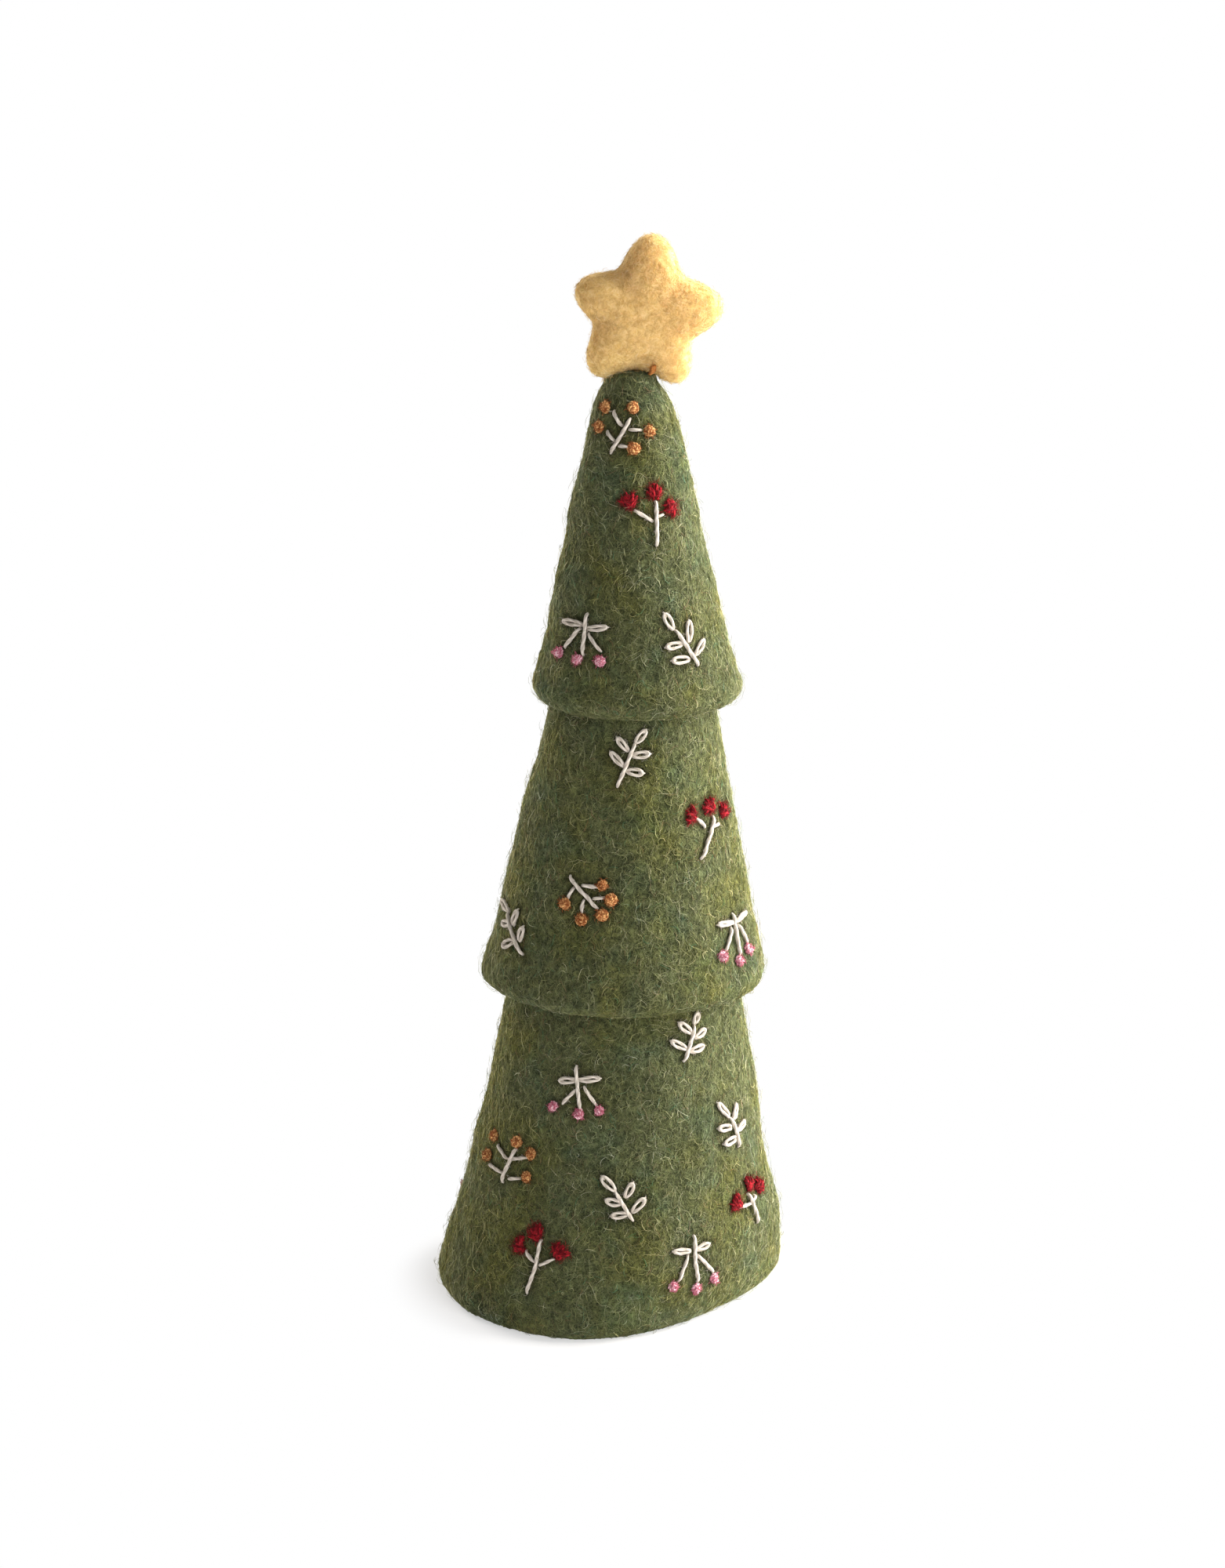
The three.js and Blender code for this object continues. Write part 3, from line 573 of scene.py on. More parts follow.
felt_pieces = {}
tier_below = None
for tier_name, tier in TIERS.items():
    around, rows = TIER_FACES[tier_name]
    points, shape = jacket_points(tier, tier_below, around, rows)
    node = tier_name + "_felt_tier"
    jacket = piece_from(tier_name + "_jacket", points, round_grid(shape), green_felt, [node])
    draw = np.random.default_rng(int(tier["top"]))
    fibres = short_fibres(tier, FIBRE_COUNTS[tier_name], draw)
    hairs = long_hairs(tier, HAIR_COUNTS[tier_name], draw)
    felt_pieces[tier_name] = [
        jacket, *fibre_pieces(tier_name + "_fibres", *fibres, draw, green_fibre, "green_felt"),
        *fibre_pieces(tier_name + "_hairs", *hairs, draw, green_fibre, "green_felt", PALE_SHADES)]
    tier_below = tier


# The sole: a flat disc of the same felt, cut a little smaller than the foot and sewn in level with
# the hem. The tree stands on it.
SOLE_FACES = (160, 14)


def disc_points(tier, radius, low, high, around, rows):
    """A flat round piece: rings from the middle of its underside out, up its edge and back in."""
    turn = np.arange(around) * 2 * np.pi / around
    shares = np.linspace(0.1, 1, rows)
    rings = [ring_of(tier, radius * share, low, turn) for share in shares]
    rings += [ring_of(tier, radius * share, high, turn) for share in shares[::-1]]
    for ring, level in zip(rings, [low] * rows + [high] * rows):
        ring[:, 2] = level
    return capped(tier, rings, turn, low, high)


points, shape = disc_points(TIERS["lower"], SOLE_RADIUS, 0.0, SOLE_THICKNESS, *SOLE_FACES)
piece_from("sole_disc", points, round_grid(shape), green_felt, ["felt_sole"])


# The fillings: loose wool packed into each jacket. They are closed in and never seen.
EVEN_TINTS = ((1.0, 1.0, 0.97), (0.97, 0.98, 1.0), (1.0, 1.0, 1.0))
filling_wool = felt_material("white_batting", ("c9c5b8", "dcd8cc", "efece2"), EVEN_TINTS, bump=0.5, sheen=0.1)
FILLING_FACES = (72, 24)
floors = {"lower": SOLE_THICKNESS, "middle": TIERS["lower"]["top"], "upper": TIERS["middle"]["top"]}
for tier_name, floor in floors.items():
    tier = TIERS[tier_name]
    around, rows = FILLING_FACES
    turn = np.arange(around) * 2 * np.pi / around
    levels = np.linspace(floor + 2 * CLEARANCE, tier["top"] - WALL - CLEARANCE, rows)
    widths = outline_radius(tier, levels) - WALL - 3 * CLEARANCE
    rings = [ring_of(tier, widths[0] * share, levels[0], turn) for share in (0.3, 0.7)]
    rings += [ring_of(tier, width, z, turn) for width, z in zip(widths, levels)]
    rings += [ring_of(tier, widths[-1] * share, levels[-1], turn) for share in (0.7, 0.3)]
    points, shape = capped(tier, rings, turn, levels[0], levels[-1])
    node = tier_name + "_filling"
    batting = piece_from(tier_name + "_batting", points, round_grid(shape), filling_wool, [node])


# The camera of the photograph: a long lens, a little above the tree and looking down at it. The
# embroidery seen in the photograph is placed on the felt by the pixels at which it is seen.
CAMERA_RISE = np.radians(15.2)
CAMERA_DISTANCE = 1193.9
AIM_HEIGHT = 160.8
PIXEL_FOCAL = 5000.0
PICTURE_MIDDLE = np.array([781.5, 1000.0])
PICTURE_HEIGHT = 2000
camera_place = np.array([0.0, -CAMERA_DISTANCE * np.cos(CAMERA_RISE),
                         AIM_HEIGHT + CAMERA_DISTANCE * np.sin(CAMERA_RISE)])
SEARCH_DEPTHS = np.linspace(CAMERA_DISTANCE - 90, CAMERA_DISTANCE + 40, 261)
HALVINGS = 16


def seen_on_felt(tier, pixels):
    """Turn and height of the felt behind pixels of the photograph. Each pixel's ray is followed to
    where it first gets inside the tier, found on even steps and then by halving the last one."""
    offset = (np.asarray(pixels, float) - PICTURE_MIDDLE) / PIXEL_FOCAL
    forward = np.array([0.0, np.cos(CAMERA_RISE), -np.sin(CAMERA_RISE)])
    upward = np.array([0.0, np.sin(CAMERA_RISE), np.cos(CAMERA_RISE)])
    rays = forward + offset[:, :1] * np.array([1.0, 0, 0]) - offset[:, 1:] * upward

    def spot(depth):
        """How far each ray's place at its depth is outside the felt, and its turn and height."""
        place = camera_place + rays * depth[:, None]
        shift = axis_shift(tier, place[:, 2])
        turn = np.arctan2(place[:, 0] - shift, -place[:, 1])
        surface = on_felt(tier, turn, place[:, 2])
        gap = np.hypot(place[:, 0] - shift, place[:, 1]) - np.hypot(surface[:, 0] - shift, surface[:, 1])
        return gap, turn, place[:, 2]

    gaps = np.stack([spot(np.full(len(rays), depth))[0] for depth in SEARCH_DEPTHS])
    first = np.where((gaps < 0).any(0), (gaps < 0).argmax(0), gaps.argmin(0))
    far, near = SEARCH_DEPTHS[first], SEARCH_DEPTHS[np.maximum(first - 1, 0)]
    for _ in range(HALVINGS):
        middle = (near + far) / 2
        inside = spot(middle)[0] < 0
        far, near = np.where(inside, middle, far), np.where(inside, near, middle)
    _, turn, z = spot(far)
    return np.stack([turn, z], 1)


# Embroidery yarn: soft two-ply wool. A stem is one or two straight stitches about 1.2 mm thick.
# Each end goes down into the felt, which the pull of the yarn dents.
YARN_RADIUS = 0.58
LEAF_YARN_RADIUS = 0.47
SLACK_PLIES = (6.5, 0.09)  # length of one turn of the plies, and how far they stand out
YARN_SIDES = 10
TUBE_END = 0.2  # how far the point that closes a tube is beyond its last ring
STITCH_STEP = 0.28
DIP_REACH = 1.1  # over how much of its end a stitch goes down into the felt
LEAF_WIDTH = 2.5
FUZZ_STAND = (0.1, 0.5)  # how far the end of a yarn's own hair stands out
# The yarn's loose hairs; the last number is painted shade on them.
IVORY_FUZZ = {"share": 0.05, "length": (0.7, 1.9), "radius": 0.035, "hair_shade": 0.3}
pulled = {tier_name: [] for tier_name in TIERS}  # lines on the felt under each tier's stitches


def even_steps(points):
    """Points at about even steps along a broken line, with its corners rounded a little, and how far
    along it each is."""
    points = np.asarray(points, float)
    line = smooth_line(points, 12 * len(points)) if len(points) > 2 else points
    walked = walked_along(line)
    count = max(int(walked[-1] / STITCH_STEP), 6)
    at = np.linspace(0, walked[-1], count + 1)
    return np.stack([np.interp(at, walked, line[:, 0]), np.interp(at, walked, line[:, 1])], 1), at


def pull_felt(sprig, flat):
    """Notes that a stitch along a flat line on the felt pulls it in."""
    line, _ = off_felt(sprig["tier"], flat[:, 0] / sprig["radius"], flat[:, 1], 0.0)
    pulled[sprig["tier"]["name"]].append(line)


def laid_yarn(sprig, flat, lift, radius, twist, plies=SLACK_PLIES):
    """A closed tube along a line on the felt. The line is given in flat millimetres, across and up,
    with a lift for each point."""
    points, normals = off_felt(sprig["tier"], flat[:, 0] / sprig["radius"], flat[:, 1], lift)
    return yarn_tube(points, normals, radius, twist, plies)


def yarn_tube(points, normals, radius, twist, plies):
    """Rings square to the line, with two plies that turn as they go: radius times 1 plus a share of
    cos(2 * (angle - turn of the ply))."""
    pitch, depth = plies
    ahead = np.gradient(points, axis=0)
    step = np.linalg.norm(ahead, axis=1, keepdims=True)
    ahead = ahead / step
    side = unit(np.cross(ahead, normals))
    over = np.cross(ahead, side)
    ply = np.cumsum(step[:, 0]) / pitch + twist
    angle = np.arange(YARN_SIDES) * 2 * np.pi / YARN_SIDES
    bulge = 1 + depth * np.cos(2 * (angle[None] - 2 * np.pi * ply[:, None]))
    width = np.broadcast_to(radius, (len(points),))[:, None] * bulge
    ring = np.cos(angle)[:, None] * side[:, None] + np.sin(angle)[:, None] * over[:, None]
    rings = points[:, None] + width[..., None] * ring
    uv = np.stack(np.broadcast_arrays(ply[:, None], angle[None] / (2 * np.pi)), -1)
    made = np.concatenate([points[:1] - ahead[:1] * TUBE_END, rings.reshape(-1, 3),
                           points[-1:] + ahead[-1:] * TUBE_END])
    uv = np.concatenate([[[ply[0], 0]], uv.reshape(-1, 2), [[ply[-1], 0]]])
    return made, round_grid((len(points), YARN_SIDES)), uv


def end_dips(at, radius):
    """Lift of a stitch above the felt: a little under its radius along most of it, and down below
    the felt at both ends, over a shorter reach where the stitch is short."""
    from_end = np.minimum(at, at[-1] - at) / min(DIP_REACH, at[-1] * 0.22)
    return radius * (-0.9 + 1.65 * np.clip(from_end, 0, 1) ** 0.6)


def straight_stitch(sprig, line, radius, over, twist):
    """A stitch straight across the felt, slimmer at its ends, and lifted by over from end to end."""
    flat, at = even_steps(line)
    slim = 0.72 + 0.28 * np.clip(np.minimum(at, at[-1] - at) / 1.6, 0, 1)
    pull_felt(sprig, flat)
    return laid_yarn(sprig, flat, end_dips(at, radius) + over, radius * slim, twist)


def chain_leaf(sprig, root, tip, width, twist):
    """A chain stitch: out from the root, round the tip and back. Along the leaf it goes as
    (1 - cos a) / 2 and to the side as sin a, fuller towards the tip. A short bar holds the tip."""
    root, tip = np.asarray(root, float), np.asarray(tip, float)
    along = tip - root
    length = np.hypot(*along)
    along = along / length
    aside = np.array([along[1], -along[0]])
    turn = np.linspace(0, 2 * np.pi, max(int(2.3 * length / STITCH_STEP), 20))
    out = (1 - np.cos(turn)) / 2 * (length - LEAF_YARN_RADIUS)
    half = (width / 2 - LEAF_YARN_RADIUS) * np.sin(turn) * (0.8 + 0.45 * (1 - np.cos(turn)) / 2)
    flat = root + out[:, None] * along + half[:, None] * aside
    lift = LEAF_YARN_RADIUS * (-0.6 + 1.4 * np.clip(out / 1.0, 0, 1) ** 0.6)
    pull_felt(sprig, flat[::3])
    bar = [tip - along * 1.5, tip + along * 0.15]
    return [laid_yarn(sprig, flat, lift, LEAF_YARN_RADIUS, twist),
            straight_stitch(sprig, bar, LEAF_YARN_RADIUS * 0.7, 0.2, twist)]


def gathered(tubes):
    """Several closed tubes as one mesh: points, faces and the yarn's own coordinates."""
    points, uvs, faces, base = [], [], [], 0
    for made, its_faces, uv in tubes:
        points.append(made)
        uvs.append(uv)
        faces += [face + base for face in its_faces]
        base += len(made)
    return np.concatenate(points), faces, np.concatenate(uvs)


def twisted_yarn_group():
    """Two-ply yarn from its own coordinates, turns of the ply along it and the share of the way
    round: painted shade darkens the grooves between the plies, with fine fibres that follow the twist.
    Mottle paints shade on patches about a millimetre long, as where tight yarn dips and turns, and
    the attribute shade paints the loose hairs with the same shade colour."""
    group, given, out = shader_group(
        "twisted_yarn",
        {"Light": (0.8, 0.8, 0.7, 1), "Groove_Shade": (0.4, 0.4, 0.3, 1), "Contrast": 1.0, "Mottle": 0.1},
        {"Color": "NodeSocketColor", "Height": "NodeSocketFloat"})
    own = group.nodes.new("ShaderNodeUVMap")
    own.uv_map = "along"
    split = group.nodes.new("ShaderNodeSeparateXYZ")
    place = group.nodes.new("ShaderNodeTexCoord").outputs["Object"]
    link(group, (own.outputs["UV"], split.inputs[0]))
    wander = noise(group, place, 900, 2)
    phase = maths(group, "SUBTRACT", split.outputs["Y"], split.outputs["X"])
    # Painted shade in the grooves, at the same turn of the plies as the tube's shape.
    plies = maths(group, "COSINE", maths(group, "MULTIPLY", phase, 4 * np.pi))
    plies = maths(group, "MULTIPLY_ADD", plies, 0.5, 0.5)
    strands = maths(group, "ADD", maths(group, "MULTIPLY", phase, 22 * np.pi),
                    maths(group, "MULTIPLY", wander, 14))
    strands = maths(group, "MULTIPLY_ADD", maths(group, "SINE", strands), 0.5, 0.5)
    share = maths(group, "MULTIPLY", plies, 0.55)
    for part, weight in ((strands, 0.25), (wander, 0.5)):
        share = maths(group, "ADD", share, maths(group, "MULTIPLY", part, weight))
    share = maths(group, "MULTIPLY_ADD", maths(group, "SUBTRACT", share, 0.65), given.outputs["Contrast"],
                  0.65, clamp=True)
    # Painted shade on patches about a millimetre long, where the yarn dips and turns, and on the loose hairs
    # by their attribute shade.
    patches = maths(group, "MULTIPLY_ADD", noise(group, place, 1000, 1), -9.0, 4.7, clamp=True)
    for darker in (maths(group, "MULTIPLY", patches, given.outputs["Mottle"]), attribute(group, "shade")):
        share = maths(group, "MULTIPLY", share, maths(group, "SUBTRACT", 1.0, darker))
    color = blend_colors(group, share, given.outputs["Groove_Shade"], given.outputs["Light"])
    link(group, (color, out.inputs["Color"]), (share, out.inputs["Height"]))
    return group


twisted_yarn = twisted_yarn_group()


def yarn_material(name, light, groove_shade, contrast=1.0, mottle=0.1):
    """Soft wool yarn: no shine, a light sheen, colour and bump from its plies, with painted shade in their
    grooves.
    """
    light = linear(light)
    material, tree, shader = wool_shader(name, {
        "Roughness": 0.85, "Specular IOR Level": 0.2,
        "Sheen Weight": 0.2, "Sheen Roughness": 0.5, "Sheen Tint": light})
    plied = placed_group(tree, twisted_yarn, {
        "Light": light, "Groove_Shade": linear(groove_shade), "Contrast": contrast, "Mottle": mottle})
    link(tree, (plied.outputs["Color"], shader.inputs["Base Color"]))
    raise_surface(tree, shader, plied.outputs["Height"], strength=0.6, distance=0.0003)
    return material


# Each yarn is given its own colour, then the colour of the painted shade in its grooves.
ivory_yarn = yarn_material("ivory_wool_yarn", "e6ddd2", "a89b8b")


def with_hairs(tubes, draw, share, length, radius, hair_shade):
    """Adds the yarn's own loose hairs to its tubes: short curly fibres that start on it, and gives
    each point a shade: on the hairs it is painted shade, which darkens them towards the groove's colour
    as a shaded halo round the yarn, and on the yarn itself none."""
    points, faces, uv = gathered(tubes)
    picked = draw.choice(len(points), max(int(len(points) * share), 12), replace=False)
    outward = np.array([points[:, 0].mean() - TIERS["middle"]["foot_shift"], points[:, 1].mean(), 0.0])
    outward /= np.linalg.norm(outward)
    upright = np.array([0.0, 0.0, 1.0])
    aside = np.cross(upright, outward)
    across, upward = curled_ways(len(picked), draw.uniform(*length, len(picked)), draw)
    stand = draw.uniform(*FUZZ_STAND, len(picked))[:, None] * np.linspace(0, 1, FIBRE_STEPS)
    lines = (points[picked, None] + across[..., None] * aside + upward[..., None] * upright
             + stand[..., None] * outward)
    normals = np.broadcast_to(outward, lines.shape)
    hairs, hair_faces, each = fibre_mesh(lines, normals, np.full(len(picked), radius))
    faces = faces + [face + len(points) for face in hair_faces]
    shade = np.concatenate([np.zeros(len(points)), np.full(len(hairs), hair_shade)])
    return np.concatenate([points, hairs]), faces, np.concatenate([uv, np.repeat(uv[picked], each, 0)]), shade


PAIRED = ("leaves", "stalks", "buds")  # parts whose marks are a root and a tip
SPRIG_MIDDLE = 8.0  # height of a placed sprig's middle over its foot


def marked_sprig(name, pixels):
    """A sprig seen in the photograph: its marks, in pixels, carried on to the felt as flat
    millimetres, across and up."""
    tier = TIERS[name.split("_")[0]]
    marks = np.concatenate([np.reshape(group, (-1, 2)) for group in pixels.values() if len(group)])
    found = seen_on_felt(tier, marks)
    radius = outline_radius(tier, found[:, 1].mean())
    flat = np.stack([found[:, 0] * radius, found[:, 1]], 1)
    sprig, start = {"name": name, "tier": tier, "radius": radius}, 0
    for part, group in pixels.items():
        count = np.reshape(group, (-1, 2)).shape[0] if len(group) else 0
        own = flat[start:start + count]
        sprig[part] = own.reshape(-1, 2, 2) if part in PAIRED else own
        start += count
    return sprig


def placed_sprig(name, turn, up_share, lean, marks):
    """A sprig on a side that the photograph doesn't show: marks in millimetres from its foot, turned
    by its lean about its middle, which is at that turn and share of the tier's height."""
    tier = TIERS[name.split("_")[0]]
    height = tier["foot"] + tier["height"] * up_share
    radius = outline_radius(tier, height)
    lean = np.radians(lean)
    sprig = {"name": name, "tier": tier, "radius": radius}
    for part, group in marks.items():
        flat = np.reshape(group, (-1, 2)) - [0.0, SPRIG_MIDDLE]
        turned = np.stack([flat[:, 0] * np.cos(lean) + flat[:, 1] * np.sin(lean),
                           flat[:, 1] * np.cos(lean) - flat[:, 0] * np.sin(lean)], 1)
        turned = turned + [np.radians(turn) * radius, height]
        sprig[part] = turned.reshape(-1, 2, 2) if part in PAIRED else turned
    return sprig


def all_sprigs(seen, places, marks):
    """The sprigs of one kind: those that the photograph shows, then those on the other side."""
    return ([marked_sprig(name, pixels) for name, pixels in seen.items()]
            + [placed_sprig(name, *place, marks) for name, place in places.items()])


def draws_for(sprig, part=0):
    """Random draws of a sprig's own, seeded by the letters of its name."""
    return np.random.default_rng(sum(ord(letter) for letter in sprig["name"]) + part)


def add_stitches(sprig, leaf_width=LEAF_WIDTH):
    """The ivory part of a sprig: its stem, its stalks and its leaves."""
    draw = draws_for(sprig)
    tubes = [straight_stitch(sprig, sprig["stem"], YARN_RADIUS, 0.15, draw.uniform())]
    for line in sprig.get("stalks", []):
        tubes.append(straight_stitch(sprig, line, YARN_RADIUS * draw.uniform(0.88, 1.0), 0.0, draw.uniform()))
    for root, tip in sprig.get("leaves", []):
        tubes += chain_leaf(sprig, root, tip, leaf_width * draw.uniform(0.88, 1.12), draw.uniform())
    points, faces, uv, shade = with_hairs(tubes, draw, **IVORY_FUZZ)
    name = sprig["name"]
    return piece_from(name + "_stitches", points, faces, ivory_yarn, [name], uv, shade)


# Leaf sprigs: a stem with a leaf at its top and two on each side, all in ivory yarn. The leaves are
# chain stitches, each with a slim eye.
LEAF_SPRIGS = {
    "upper_leaf_sprig_1": {
        "stem": [(890.9, 848.7), (862.1, 804.2)],
        "leaves": [(858.8, 802.5, 846.7, 781.7), (878.9, 817.9, 878.2, 790.8), (887.6, 834.6, 897, 814.6),
                   (870.2, 821.3, 848.4, 825.9), (879.6, 840.7, 856.1, 842.7)]},
    "middle_leaf_sprig_1": {
        "stem": [(787.4, 1003.5), (810.4, 948.1)],
        "leaves": [(811, 947.4, 824.4, 930.5), (801.5, 957.6, 786.8, 939.8), (795.7, 977.4, 778.5, 958.3),
                   (807.2, 964, 829.8, 961.5), (800.2, 983.8, 821.9, 986.3)]},
    "middle_leaf_sprig_2": {
        "stem": [(667, 1217.5), (649.6, 1162.6)],
        "leaves": [(649.6, 1161.3, 641.5, 1147.9), (654.9, 1180, 661.6, 1159.9), (663, 1200.1, 668.3, 1181.4),
                   (650.9, 1178.7, 641.5, 1177.3), (656.3, 1200.1, 641.5, 1206.8)]},
    "lower_leaf_sprig_1": {
        "stem": [(872.7, 1353.9), (885.9, 1308.4)],
        "leaves": [(885.9, 1305.5, 889.7, 1289.9), (881.5, 1317.2, 865.3, 1304),
                   (875.6, 1337.7, 855.1, 1327.5),
                   (887.3, 1323.1, 899.7, 1312.2), (880, 1340.7, 897.6, 1333.3)]},
    "lower_leaf_sprig_2": {
        "stem": [(942.5, 1462.4), (931.3, 1425.7)],
        "leaves": [(929.9, 1424.3, 914.6, 1406.7), (935.7, 1427.2, 938.7, 1406.7),
                   (940.1, 1441.9, 949, 1428.7),
                   (932.8, 1437.5, 915.2, 1439.5), (938.7, 1450.7, 922.5, 1459.5)]},
    "lower_leaf_sprig_3": {
        "stem": [(807.6, 1556.9), (784.7, 1519.6)],
        "leaves": [(784.7, 1518.1, 767.1, 1500), (797.9, 1526.9, 808.1, 1507.9), (806.7, 1546, 823.4, 1527.5),
                   (792, 1535.7, 772.1, 1529.9), (800.8, 1548.9, 778.8, 1551)]},
}
# Marks of a placed sprig are in millimetres, across and up from its foot. A place is the turn from
# the front, the share of the tier's height and the lean, both turn and lean in degrees.
LEAF_MARKS = {
    "stem": [(0, 0), (0, 11.1)],
    "leaves": [(0, 11.1, -1.2, 17.6), (1.2, 7.7, 6.6, 10.5), (0.8, 2.5, 7.3, 4.3), (-0.5, 6.6, -4.1, 10.5),
               (-0.4, 2.6, -5.4, 5.1)],
}
LEAF_PLACES = {"lower_leaf_sprig_4": (108, 0.56, 20), "middle_leaf_sprig_3": (216, 0.44, 24)}
for sprig in all_sprigs(LEAF_SPRIGS, LEAF_PLACES, LEAF_MARKS):
    add_stitches(sprig)


# Berry sprigs: an ivory stem with four stalks, and five French knots in orange yarn. A knot is the
# yarn wound twice round the needle, so that it sits on the felt as a small bun.
KNOT_YARN_RADIUS = 0.5
KNOT_TURNS = 2.3
TIGHT_PLIES = (1.6, 0.26)
# Loose hairs of the knots, darkened by painted shade into a halo round each knot.
KNOT_FUZZ = {"share": 0.26, "length": (0.6, 1.6), "radius": 0.085, "hair_shade": 0.85}
COLOURED_PART = 7  # sets a coloured part's random draws apart from its stem's


def french_knot(sprig, flat, width, draw):
    """A coil of over two turns: the first lies on the felt, the next on its inner side, and the
    last closes in over them and ends down through the middle. The angle goes evenly, and the radius
    and lift follow it, both a little uneven."""
    share = np.linspace(0, 1, 64)
    angle = draw.uniform(0, 2 * np.pi) + share * 2 * KNOT_TURNS * np.pi
    close = np.clip((share - 0.38) / 0.62, 0, 1)
    ending = np.clip((share - 0.93) / 0.07, 0, 1)
    uneven = np.sin(angle * 0.63 + draw.uniform(0, 2 * np.pi))
    across = (width / 2 - KNOT_YARN_RADIUS) * (1 - 0.72 * close ** 1.1) * (1 + 0.26 * uneven)
    lift = KNOT_YARN_RADIUS * (0.2 + 2.5 * close ** 0.8 + 0.3 * uneven * close) - 1.3 * ending
    line = flat + np.stack([across * np.cos(angle), across * np.sin(angle)], 1)
    pull_felt(sprig, line[:21])
    radius = KNOT_YARN_RADIUS * draw.uniform(0.92, 1.1)
    return laid_yarn(sprig, line, lift, radius, draw.uniform(), TIGHT_PLIES)


def add_knots(sprig, width, material, ending):
    """The coloured part of a berry or cherry sprig, with the fuzz that its tight yarn sheds."""
    draw = draws_for(sprig, COLOURED_PART)
    tubes = [french_knot(sprig, flat, width * draw.uniform(0.94, 1.06), draw) for flat in sprig["knots"]]
    points, faces, uv, shade = with_hairs(tubes, draw, **KNOT_FUZZ)
    name = sprig["name"] + "_" + ending
    return piece_from(name + "_knots", points, faces, material, [name], uv, shade)


BERRY_WIDTH = 3.4
orange_yarn = yarn_material("orange_wool_yarn", "ffc884", "86380f", 1.1, 0.7)
BERRY_SPRIGS = {
    "upper_berry_sprig_1": {
        "stem": [(779, 578), (804, 534)],
        "stalks": [(793.6, 543.6, 783, 523.5), (784.6, 562.8, 774.4, 549.4), (802.5, 548, 818.6, 548.5),
                   (789, 569, 801.6, 570)],
        "knots": [(773, 519), (807.4, 520.4), (764.6, 543.6), (828.4, 549.4), (808.8, 573)]},
    "middle_berry_sprig_1": {
        "stem": [(727.2, 1117.1), (762.1, 1158.6)],
        "stalks": [(732.6, 1131.8, 724.6, 1145.2), (744.7, 1147.9, 742, 1164),
                   (742, 1129.1, 763.4, 1131.8), (755.4, 1146.5, 771.4, 1145.2)],
        "knots": [(720.5, 1152.7), (742, 1172), (768.2, 1166.6), (778.9, 1147.9), (769.3, 1129.1)]},
    "lower_berry_sprig_1": {
        "stem": [(641.5, 1507.9), (658.5, 1465.3)],
        "stalks": [(648.3, 1478.5, 635.1, 1459.5), (641.5, 1496.1, 624.8, 1484.4),
                   (652.7, 1478.5, 671.7, 1476.5), (648.3, 1503.5, 664.4, 1502.9)],
        "knots": [(632.1, 1447.7), (660, 1457.1), (622.7, 1473.5), (678.5, 1471.8), (672.6, 1500.5)]},
}
BERRY_MARKS = {
    "stem": [(0, 0), (0, 11.6)],
    "stalks": [(-1.2, 7.5, -6, 10.8), (-1.1, 2.8, -6.1, 4), (-0.1, 8, 4.2, 10.2), (1.2, 1.7, 4.9, 3.3)],
    "knots": [(-7.8, 13.3), (-7.6, 6.3), (5.3, 12), (6.6, 4.7), (-0.4, 13.7)],
}
BERRY_PLACES = {"lower_berry_sprig_2": (158, 0.3, -20)}
for sprig in all_sprigs(BERRY_SPRIGS, BERRY_PLACES, BERRY_MARKS):
    add_stitches(sprig)
    add_knots(sprig, BERRY_WIDTH, orange_yarn, "berries")


# Cherry sprigs: an ivory stem with two leaves, two more stalks, and three French knots in pink yarn
# hanging at their ends.
CHERRY_WIDTH = 3.0
CHERRY_LEAF_WIDTH = 2.15
pink_yarn = yarn_material("pink_wool_yarn", "ffd8e2", "b84664", 1.1, 0.5)
CHERRY_SPRIGS = {
    "upper_cherry_sprig_1": {
        "stem": [(749.3, 782.4), (743.7, 835.8)],
        "leaves": [(743.3, 796.5, 718.8, 791.6), (750.3, 801.4, 776, 800.3)],
        "stalks": [(740.5, 801, 720.2, 826), (750.3, 807.7, 766.5, 830.9)],
        "knots": [(713.5, 832.6), (737.7, 842.1), (766.1, 842.8)]},
    "middle_cherry_sprig_1": {
        "stem": [(934.8, 1165.3), (942.9, 1220.2)],
        "leaves": [(936.2, 1176, 914.8, 1180), (938.9, 1174.7, 950.9, 1162.6)],
        "stalks": [(933.5, 1182.7, 925.5, 1213.5), (942.9, 1180, 953.6, 1204.1)],
        "knots": [(921.5, 1220.2), (942.3, 1225.6), (954.1, 1210.8)]},
    "lower_cherry_sprig_1": {
        "stem": [(735.4, 1359.7), (740.1, 1415.5)],
        "leaves": [(735.4, 1377.3, 713.4, 1377.9), (739.2, 1377.3, 766.5, 1375.3)],
        "stalks": [(735.4, 1389.1, 717.2, 1408.1), (745.1, 1386.1, 761.2, 1410.2)],
        "knots": [(706.4, 1411.1), (739.2, 1421.3), (765, 1416.1)]},
    "lower_cherry_sprig_2": {
        "stem": [(885.3, 1576), (885.6, 1604.3), (890.2, 1634.9)],
        "leaves": [(881, 1595.1, 858.1, 1595.9), (888.7, 1593.6, 905.5, 1585.9)],
        "stalks": [(878, 1601.2, 865.7, 1634.9), (890.2, 1601.2, 910.1, 1622.7)],
        "knots": [(858.8, 1640.3), (887.9, 1643.3), (910.1, 1630.3)]},
}
CHERRY_MARKS = {
    "stem": [(-1.2, 15), (0, 0.8)],
    "leaves": [(-0.4, 10.5, -6.2, 10.3), (0.6, 10.5, 7.4, 11)],
    "stalks": [(-0.8, 7.5, -5.5, 2.7), (1.6, 8.2, 5.7, 2.1)],
    "knots": [(-8.2, 1.9), (0, -0.7), (6.7, 0.6)],
}
CHERRY_PLACES = {"lower_cherry_sprig_3": (247, 0.3, -5), "upper_cherry_sprig_2": (168, 0.36, -6)}
for sprig in all_sprigs(CHERRY_SPRIGS, CHERRY_PLACES, CHERRY_MARKS):
    add_stitches(sprig, CHERRY_LEAF_WIDTH)
    add_knots(sprig, CHERRY_WIDTH, pink_yarn, "cherries")


